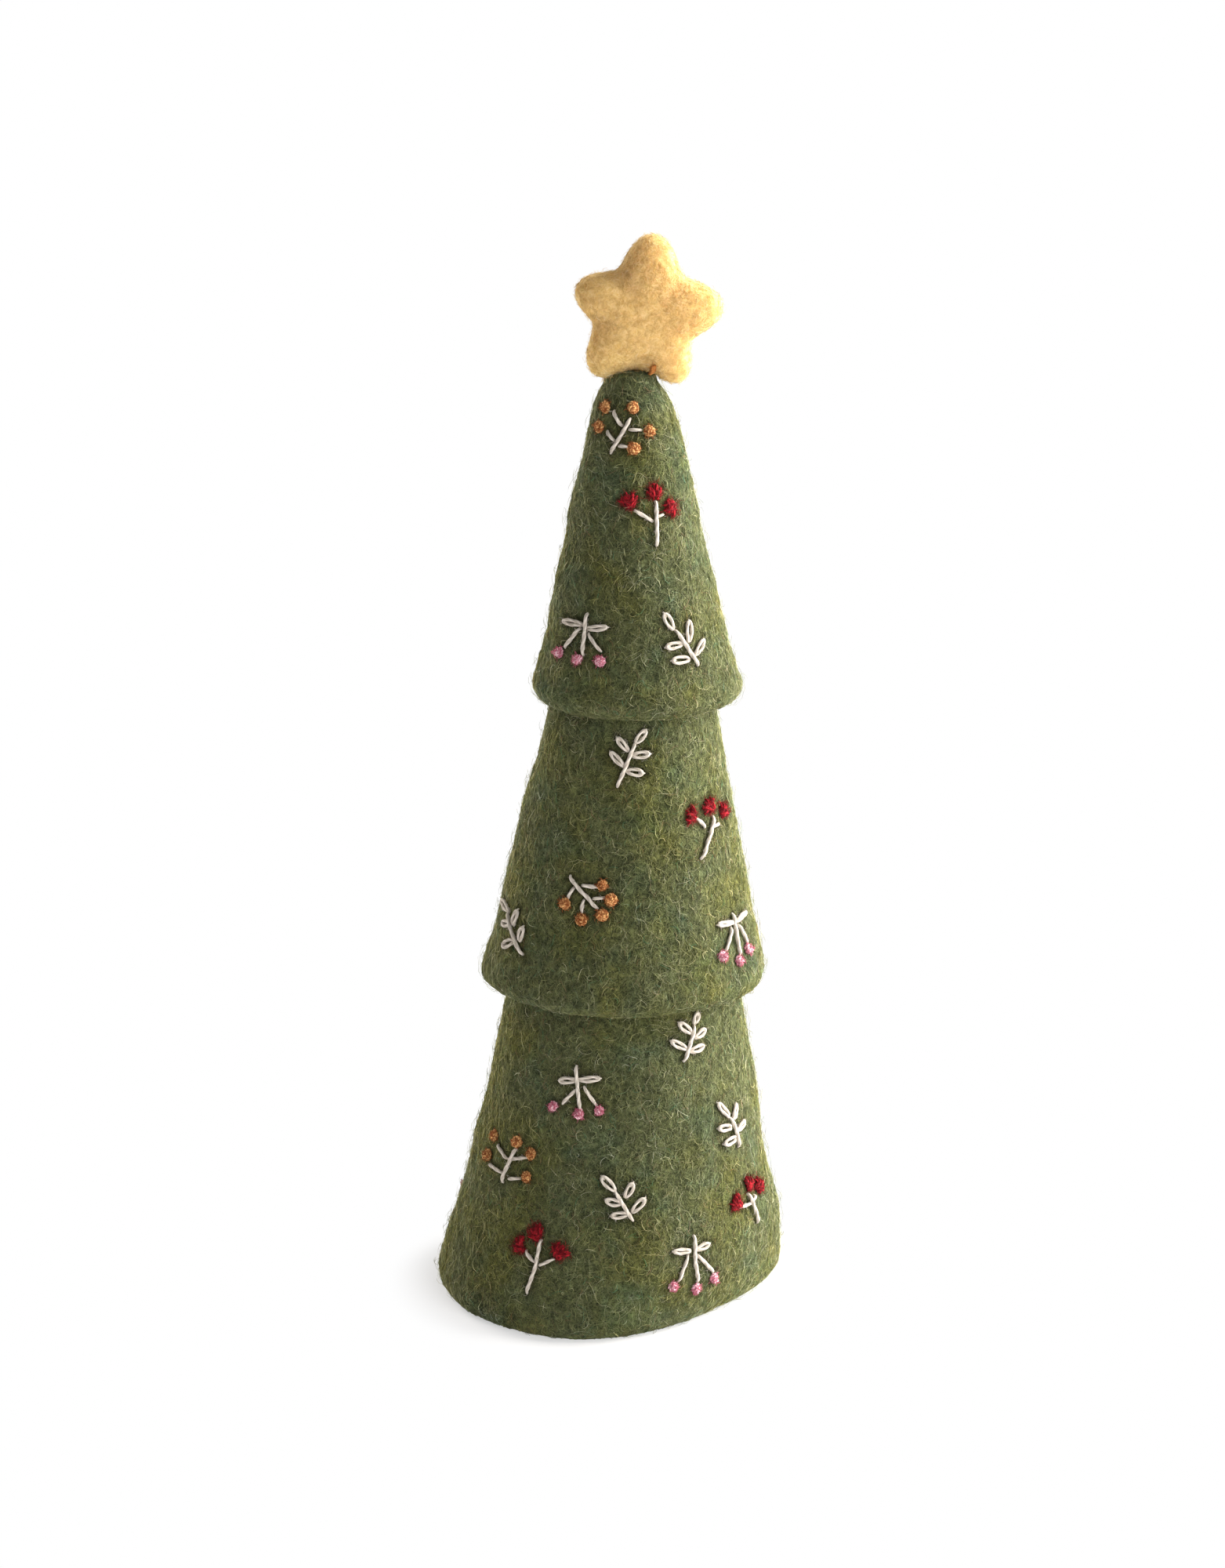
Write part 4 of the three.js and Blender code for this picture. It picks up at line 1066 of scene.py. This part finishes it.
# Bud sprigs: an ivory stem with two short branches, and a bud at each of the three ends. A bud is a
# tuft of short crimson stitches that spread out from its root.
BUD_REACH = 2.6
BUD_STITCHES = 17
BUD_STITCH_LENGTHS = (1.9, 3.3)
BUD_YARN_RADIUS = 0.4
# Loose hairs of the buds, darkened by painted shade into a halo round each tuft.
TUFT_FUZZ = {"share": 0.14, "length": (1.2, 3.2), "radius": 0.055, "hair_shade": 0.45}


def bud_tuft(sprig, root, middle, draw):
    """Short stitches packed over a bud. Each starts near the root and fans out, and its place across
    the bud and its direction go together, so that the tuft spreads; later ones lie over earlier."""
    root, middle = np.asarray(root), np.asarray(middle)
    heading = np.arctan2(*(middle - root))
    ahead = np.array([np.sin(heading), np.cos(heading)])
    aside = np.array([ahead[1], -ahead[0]])
    tubes = []
    for i, place in enumerate(draw.permutation(np.linspace(-1, 1, BUD_STITCHES))):
        way = heading + np.radians(50) * place + draw.normal(0, 0.45)
        way = np.array([np.sin(way), np.cos(way)])
        length = draw.uniform(*BUD_STITCH_LENGTHS)
        centre = (middle + aside * place * BUD_REACH * 0.62
                  + ahead * draw.uniform(-1.5, 1.2) * (1 - 0.4 * abs(place)))
        line = [centre - way * length / 2, centre + way * length / 2]
        radius = BUD_YARN_RADIUS * draw.uniform(0.85, 1.2)
        tubes.append(straight_stitch(sprig, line, radius, 0.7 * i / BUD_STITCHES, draw.uniform()))
    return tubes


crimson_yarn = yarn_material("crimson_wool_yarn", "c0202c", "3c070b", 1.5, 0.65)
BUD_SPRIGS = {
    "upper_bud_sprig_1": {
        "stem": [(837.7, 696), (836.2, 639)],
        "stalks": [(832.8, 665, 809.8, 651.2), (838.5, 659.6, 846.5, 655.8)],
        "buds": [(809.8, 651.2, 802.9, 639.7), (836.2, 639, 835.4, 626.7), (846.5, 655.8, 856.5, 646.6)]},
    "middle_bud_sprig_1": {
        "stem": [(894.7, 1095.6), (906.7, 1056.8), (909.4, 1040.7)],
        "stalks": [(900, 1055.5, 888, 1043.4), (908, 1055.5, 917.4, 1050.1)],
        "buds": [(888, 1043.4, 881.3, 1039.4), (909.4, 1040.7, 904, 1027.3), (917.4, 1050.1, 922.8, 1032.7)]},
    "lower_bud_sprig_1": {
        "stem": [(966.5, 1559.2), (954.2, 1522.5)],
        "stalks": [(957.7, 1534.3, 944.5, 1540.1), (959.2, 1532.8, 963, 1524)],
        "buds": [(944.5, 1540.1, 938.7, 1534.3), (954.2, 1522.5, 954.8, 1509.3), (963, 1524, 968, 1512.3)]},
    "lower_bud_sprig_2": {
        "stem": [(672, 1649.4), (685.1, 1611.9), (690.4, 1581.3)],
        "stalks": [(682.8, 1610.4, 670.5, 1595.1), (687.4, 1614.2, 706.5, 1605.8)],
        "buds": [(670.5, 1595.1, 662.9, 1587.5), (690.4, 1581.3, 685.1, 1572.9),
                 (706.5, 1605.8, 714.9, 1596.6)]},
}
BUD_MARKS = {
    "stem": [(0, 0), (0.4, 7.6), (0, 13.6)],
    "stalks": [(0.2, 7.6, -3.2, 10), (0.4, 7.2, 4.2, 9.8)],
    "buds": [(-3.2, 10, -5.2, 12.2), (0, 13.6, -0.7, 16.4), (4.2, 9.8, 6.2, 12.8)],
}
BUD_PLACES = {"lower_bud_sprig_3": (206, 0.62, 8), "middle_bud_sprig_2": (128, 0.36, -14)}
for sprig in all_sprigs(BUD_SPRIGS, BUD_PLACES, BUD_MARKS):
    add_stitches(sprig)
    draw = draws_for(sprig, COLOURED_PART)
    tubes = [tube for root, middle in sprig["buds"] for tube in bud_tuft(sprig, root, middle, draw)]
    points, faces, uv, shade = with_hairs(tubes, draw, **TUFT_FUZZ)
    name = sprig["name"]
    piece_from(name + "_tufts", points, faces, crimson_yarn, [name + "_buds"], uv, shade)


# The pull of the stitches: round each one the felt is drawn in by about half a millimetre
#  and darkened there by painted shade.
PULL_DEPTH = 0.5
PULL_WIDTH = 1.6
PULL_REACH = 4  # from a stitch, beyond which it pulls nothing


def pull_in(piece, lines):
    """Moves a piece's points straight towards its tier's axis near stitches, by the depth times
    exp(-(distance / width) squared) of the nearest stitch, and keeps that share as pressed, which
    paints shade into the felt's colour there."""
    mesh = piece.data
    points = np.empty(len(mesh.vertices) * 3, np.float32)
    mesh.vertices.foreach_get("co", points)
    points = points.reshape(-1, 3) / MM
    share = np.zeros(len(points))
    for line in lines:
        inside = (points > line.min(0) - PULL_REACH) & (points < line.max(0) + PULL_REACH)
        near = np.where(inside.all(1))[0]
        if len(near):
            gap = np.linalg.norm(points[near, None] - line[None], axis=2).min(1)
            share[near] = np.maximum(share[near], np.exp(-(gap / PULL_WIDTH) ** 2))
    away = unit(points[:, :2] - points[:, :2].mean(0))
    points[:, :2] -= away * (share * PULL_DEPTH)[:, None]
    mesh.vertices.foreach_set("co", (points * MM).astype(np.float32).ravel())
    # The share kept as pressed paints shade on the felt near the stitches.
    mesh.attributes.new("pressed", "FLOAT", "POINT").data.foreach_set("value", share.astype(np.float32))
    mesh.update()


for tier_name, lines in pulled.items():
    for piece in felt_pieces[tier_name]:
        pull_in(piece, lines)


# The star: golden wool needled into a plump five-pointed star about 17 mm thick. Its two lower
# points straddle the tip of the tree, where it is sewn on.
STAR_TIP_REACH = 23.0
STAR_THICKNESS = 17.0
STAR_SHIFT = 5.1  # of its middle, to the right of the tip's axis
STAR_DROP = 0.2  # of the notch, below the top of the tip
STAR_NOTCH = 258.0  # direction of the notch between the two lower points, in degrees
# Direction in degrees, and reach as a share of the tip's: a point and a hollow in turn.
STAR_OUTLINE = np.array([(5, 0.93), (48, 0.643), (87, 0.993), (127, 0.688), (162, 1.003), (191, 0.75),
                         (227, 1.06), (STAR_NOTCH, 0.765), (268, 0.765), (294, 0.965), (328, 0.652)])
STAR_FULLNESS = 0.75
STAR_LUMPS = [(14.0, 0.12), (6.0, 0.04), (2.8, 0.02)]
GOLD_TINTS = ((1.0, 0.985, 0.95), (0.98, 0.97, 0.98), (0.5, 0.4, 0.3))
star_gold = felt_material("gold_wool_felt", ("cca566", "e4c179", "f0d59b"), GOLD_TINTS,
                          bump=0.4, sheen=0.05, soft=0.65)
gold_fibre = fibre_material("gold_wool_fibres", [
    (0.0, "bc9455"), (0.5, "e0bb75"), (0.92, "eed297"), (1.0, "f6e2b8")], GOLD_TINTS, sheen=0.0, soft=0.3)
STAR_FACES = (200, 100)
STAR_FIBRES = 5600
STAR_FIBRE_LENGTHS, STAR_FIBRE_RADII, STAR_STRAY_RADIUS = (1.2, 3.8), (0.035, 0.08), 0.03
STAR_SEED, STAR_LUMP_SEED = 23, 5
STAR_POLE = 1e-4  # how far through the ball its first and last points are from its poles
TIP_CLEARANCE = CLEARANCE + 0.3


def star_reach(direction):
    """How far the outline is from the middle, in degrees anticlockwise from the right: half a cosine
    wave from each point to the next hollow."""
    turns = np.concatenate([STAR_OUTLINE[-1:, 0] - 360, STAR_OUTLINE[:, 0], STAR_OUTLINE[:1, 0] + 360])
    reaches = np.concatenate([STAR_OUTLINE[-1:, 1], STAR_OUTLINE[:, 1], STAR_OUTLINE[:1, 1]])
    here = np.mod(direction, 360)
    start = np.clip(np.searchsorted(turns, here, side="right") - 1, 0, len(turns) - 2)
    along = (1 - np.cos(np.pi * (here - turns[start]) / (turns[start + 1] - turns[start]))) / 2
    return STAR_TIP_REACH * (reaches[start] + (reaches[start + 1] - reaches[start]) * along)


upper = TIERS["upper"]
star_middle = np.array([upper["neck_shift"] + STAR_SHIFT, 0.0,
                        upper["top"] - STAR_DROP - star_reach(STAR_NOTCH) * np.sin(np.radians(STAR_NOTCH))])


def on_star(direction, through):
    """A ball drawn out to the star's outline: direction in degrees round the outline, through from 0
    at the front's middle to pi at the back's. Out to the side and deep both follow the ball's own
    sine and cosine to a power below 1, which makes it plump. Where the tip of the tree is, the
    surface is pushed clear of it."""
    direction, through = np.broadcast_arrays(np.asarray(direction, float), np.asarray(through, float))
    out = star_reach(direction) * np.maximum(np.sin(through), 0) ** STAR_FULLNESS
    deep = -STAR_THICKNESS / 2 * np.sign(np.cos(through)) * np.abs(np.cos(through)) ** STAR_FULLNESS
    angle = np.radians(direction)
    points = np.stack([out * np.cos(angle), deep, out * np.sin(angle)], -1) + star_middle
    away = unit(points - star_middle)
    return clear_of_tip(points + away * lumps(points, STAR_LUMP_SEED, STAR_LUMPS)[..., None])


def clear_of_tip(points):
    """Moves points that are inside the tip's rounded crown out of it: up to its top, or out to its
    side, whichever is nearer."""
    shift = axis_shift(upper, points[..., 2])
    aside, forward = points[..., 0] - shift, points[..., 1]
    from_axis = np.hypot(aside, forward)
    limit = outline_radius(upper, points[..., 2]) + TIP_CLEARANCE
    inside = (from_axis < limit) & (points[..., 2] < upper["top"] + CLEARANCE)
    outward = limit - from_axis
    lift = upper["top"] + CLEARANCE - points[..., 2]
    up = inside & (lift < outward)
    side = inside & ~up
    moved = points.copy()
    moved[..., 2] = np.where(up, upper["top"] + CLEARANCE, points[..., 2])
    share = np.where(side, limit / np.maximum(from_axis, 1e-3), 1.0)
    moved[..., 0] = shift + aside * share
    moved[..., 1] = forward * share
    return moved


around, rows = STAR_FACES
through = np.linspace(0, np.pi, rows + 2)
direction = np.arange(around) * 360 / around
points = np.concatenate([on_star(np.zeros(1), np.full(1, STAR_POLE)),
                         on_star(direction[None], through[1:-1, None]).reshape(-1, 3),
                         on_star(np.zeros(1), np.full(1, np.pi - STAR_POLE))])
star = piece_from("star_body", points, round_grid((rows, around)), star_gold, ["felt_star"])

draw = np.random.default_rng(STAR_SEED)
turn, through = draw.uniform(0, 360, STAR_FIBRES), np.arccos(draw.uniform(-1, 1, STAR_FIBRES))
roots = on_star(turn, through)
aside = on_star(turn + 0.6, through) - on_star(turn - 0.6, through)
back = on_star(turn, through + 0.01) - on_star(turn, through - 0.01)
normals = unit(np.cross(back, aside))
normals *= np.sign(np.sum(normals * (roots - star_middle), 1, keepdims=True))
aside = unit(aside)
across, upward = curled_ways(STAR_FIBRES, draw.uniform(*STAR_FIBRE_LENGTHS, STAR_FIBRES), draw)
stray = draw.uniform(size=STAR_FIBRES) < STRAY_SHARE
stand = np.where(stray, 0.15 + 0.9 * draw.uniform(size=STAR_FIBRES) ** 2, 0.1)[:, None]
stand = stand * np.sin(np.pi * np.linspace(0.05, 0.7, FIBRE_STEPS))
lines = (roots[:, None] + across[..., None] * aside[:, None]
         + upward[..., None] * np.cross(normals, aside)[:, None] + stand[..., None] * normals[:, None])
radii = np.where(stray, STAR_STRAY_RADIUS, draw.uniform(*STAR_FIBRE_RADII, STAR_FIBRES))
normals = np.broadcast_to(normals[:, None], lines.shape)
fibre_pieces("star_fibres", lines, normals, radii, draw, gold_fibre, "gold_felt")


# The tack: a few short turns of rust-brown yarn that tie the star's right leg to the front of the
# tip. They go down into the green felt below and into the gold wool above.
TACK_TURN = np.radians(44)
TACK_BELOW = 1.6  # from the top of the tip down to its foot
TACK_RISE = 3.4
TACK_FORWARD = 1.6
TACK_RADIUS = 0.52
TACK_STRANDS = 3
TACK_SPACING = np.radians(5)
TACK_STEPS = 14
TACK_START, TACK_STAGGER, TACK_END = 0.38, 0.06, 1.05  # shares of the rise, the second for each turn
TACK_BOW, TACK_SINK = 0.7, 0.5
TACK_SEED = 3
TACK_FUZZ = {**IVORY_FUZZ, "share": 0.12}
rust_yarn = yarn_material("rust_wool_yarn", "a86c34", "5f3315")
draw = np.random.default_rng(TACK_SEED)
tubes = []
for i in range(TACK_STRANDS):
    turn, height = np.array([TACK_TURN + TACK_SPACING * (i - 1)]), np.array([upper["top"] - TACK_BELOW])
    foot, outward = off_felt(upper, turn, height, np.array([TACK_RADIUS]))
    share = np.linspace(TACK_START + TACK_STAGGER * i, TACK_END, TACK_STEPS)
    bar = foot + share[:, None] * np.array([TACK_RADIUS, -TACK_FORWARD, TACK_RISE])
    bow = TACK_BOW * np.sin(np.pi * np.linspace(0, 1, TACK_STEPS)) - TACK_SINK
    bowed = bar + outward * bow[:, None]
    normals = np.repeat(outward, TACK_STEPS, 0)
    tubes.append(yarn_tube(bowed, normals, TACK_RADIUS, draw.uniform(), TIGHT_PLIES))
points, faces, uv, shade = with_hairs(tubes, draw, **TACK_FUZZ)
piece_from("tack_turns", points, faces, rust_yarn, ["star_tack_stitch"], uv, shade)


# The studio: a white floor and background, a large soft lamp at the right, a weaker one at the front
# and one behind at the left, and the camera of the photograph.
SHADOW_VEIL = 0.3  # share of plain white over the floor near the tree
FLOOR_GLOW = 0.3  # light that the bright floor sends up, on top of what falls on it
FLOOR_HALF = 3  # metres
VEIL_NEAR, VEIL_FAR = 0.052, 0.072  # metres from the tree's middle, from floor to plain white
AMBIENT = 0.09  # how bright the white background is as a light
SENSOR_SIZE = 36


def plain_white(name, near, far):
    """White for the camera beyond some distance from the tree, and a plain white floor within it
    under a thin veil of the same white, so that the tree's shadow shows lightly. It sends light up
    to the hems."""
    material = bpy.data.materials.new(name)
    material.use_nodes = True
    tree = material.node_tree
    tree.nodes.clear()
    paint = tree.nodes.new("ShaderNodeBsdfDiffuse")
    paint.inputs["Color"].default_value = (0.7, 0.7, 0.71, 1)
    glow = tree.nodes.new("ShaderNodeEmission")
    glow.inputs["Color"].default_value = (1, 1, 1, 1)
    path = tree.nodes.new("ShaderNodeLightPath")
    place = tree.nodes.new("ShaderNodeTexCoord").outputs["Object"]
    length = tree.nodes.new("ShaderNodeVectorMath")
    length.operation = "LENGTH"
    tree.links.new(place, length.inputs[0])
    share = tree.nodes.new("ShaderNodeMapRange")
    share.interpolation_type = "SMOOTHSTEP"
    share.inputs["From Min"].default_value = near
    share.inputs["From Max"].default_value = far
    tree.links.new(length.outputs["Value"], share.inputs["Value"])
    share.inputs["To Min"].default_value = SHADOW_VEIL
    seen = maths(tree, "MULTIPLY", share.outputs["Result"], path.outputs["Is Camera Ray"])
    lit, sent_up = tree.nodes.new("ShaderNodeAddShader"), tree.nodes.new("ShaderNodeEmission")
    sent_up.inputs["Strength"].default_value = FLOOR_GLOW
    mixed, out = tree.nodes.new("ShaderNodeMixShader"), tree.nodes.new("ShaderNodeOutputMaterial")
    link(tree, (paint.outputs[0], lit.inputs[0]), (sent_up.outputs[0], lit.inputs[1]),
         (seen, mixed.inputs[0]), (lit.outputs[0], mixed.inputs[1]), (glow.outputs[0], mixed.inputs[2]),
         (mixed.outputs[0], out.inputs["Surface"]))
    return material


floor_mesh = bpy.data.meshes.new("floor")
floor_corners = [(-1, -1), (1, -1), (1, 1), (-1, 1)]
floor_mesh.from_pydata([(x * FLOOR_HALF, y * FLOOR_HALF, 0) for x, y in floor_corners], [], [(0, 1, 2, 3)])
floor_mesh.materials.append(plain_white("white_floor", VEIL_NEAR, VEIL_FAR))
floor = bpy.data.objects.new("floor", floor_mesh)
bpy.context.scene.collection.objects.link(floor)

world = bpy.data.worlds.new("white_studio")
bpy.context.scene.world = world
world.use_nodes = True
sky = world.node_tree
sky.nodes.clear()
path = sky.nodes.new("ShaderNodeLightPath")
strength = maths(sky, "MAXIMUM", path.outputs["Is Camera Ray"], path.outputs["Is Glossy Ray"])
strength = maths(sky, "MAXIMUM", strength, path.outputs["Is Transmission Ray"])
strength = maths(sky, "MULTIPLY_ADD", strength, 1 - AMBIENT, AMBIENT)
backdrop, out = sky.nodes.new("ShaderNodeBackground"), sky.nodes.new("ShaderNodeOutputWorld")
backdrop.inputs["Color"].default_value = (1, 1, 1, 1)
link(sky, (strength, backdrop.inputs["Strength"]), (backdrop.outputs[0], out.inputs["Surface"]))


def softbox(name, azimuth, elevation, distance, size, power, color=(1, 1, 1)):
    """A square area lamp that faces the tree's middle from some way off, in metres. Azimuth 0 is the
    front and 90 the right, and its power is in watts."""
    lamp = bpy.data.lights.new(name, "AREA")
    lamp.shape = "SQUARE"
    lamp.size = size
    lamp.energy = power
    lamp.color = color
    placed = bpy.data.objects.new(name, lamp)
    a, e = np.radians(azimuth), np.radians(elevation)
    back = np.array([np.sin(a) * np.cos(e), -np.cos(a) * np.cos(e), np.sin(e)])
    placed.location = back * distance + np.array([0, 0, AIM_HEIGHT * MM])
    placed.rotation_euler = (np.pi / 2 - e, 0, a)
    bpy.context.scene.collection.objects.link(placed)


softbox("key_lamp", azimuth=103, elevation=24, distance=1.4, size=1.2, power=80, color=(1.0, 0.96, 0.9))
softbox("front_lamp", azimuth=34, elevation=24, distance=1.8, size=1.0, power=17.5)
softbox("left_lamp", azimuth=-138, elevation=20, distance=1.5, size=0.8, power=20, color=(1.0, 0.93, 0.86))

camera_data = bpy.data.cameras.new("camera")
camera_data.sensor_width = SENSOR_SIZE
camera_data.lens = PIXEL_FOCAL / PICTURE_HEIGHT * SENSOR_SIZE
camera_data.clip_end = 20
camera = bpy.data.objects.new("camera", camera_data)
camera.location = camera_place * MM
camera.rotation_euler = (np.pi / 2 - CAMERA_RISE, 0, 0)
bpy.context.scene.collection.objects.link(camera)
bpy.context.scene.camera = camera
bpy.context.scene.view_settings.view_transform = "Standard"
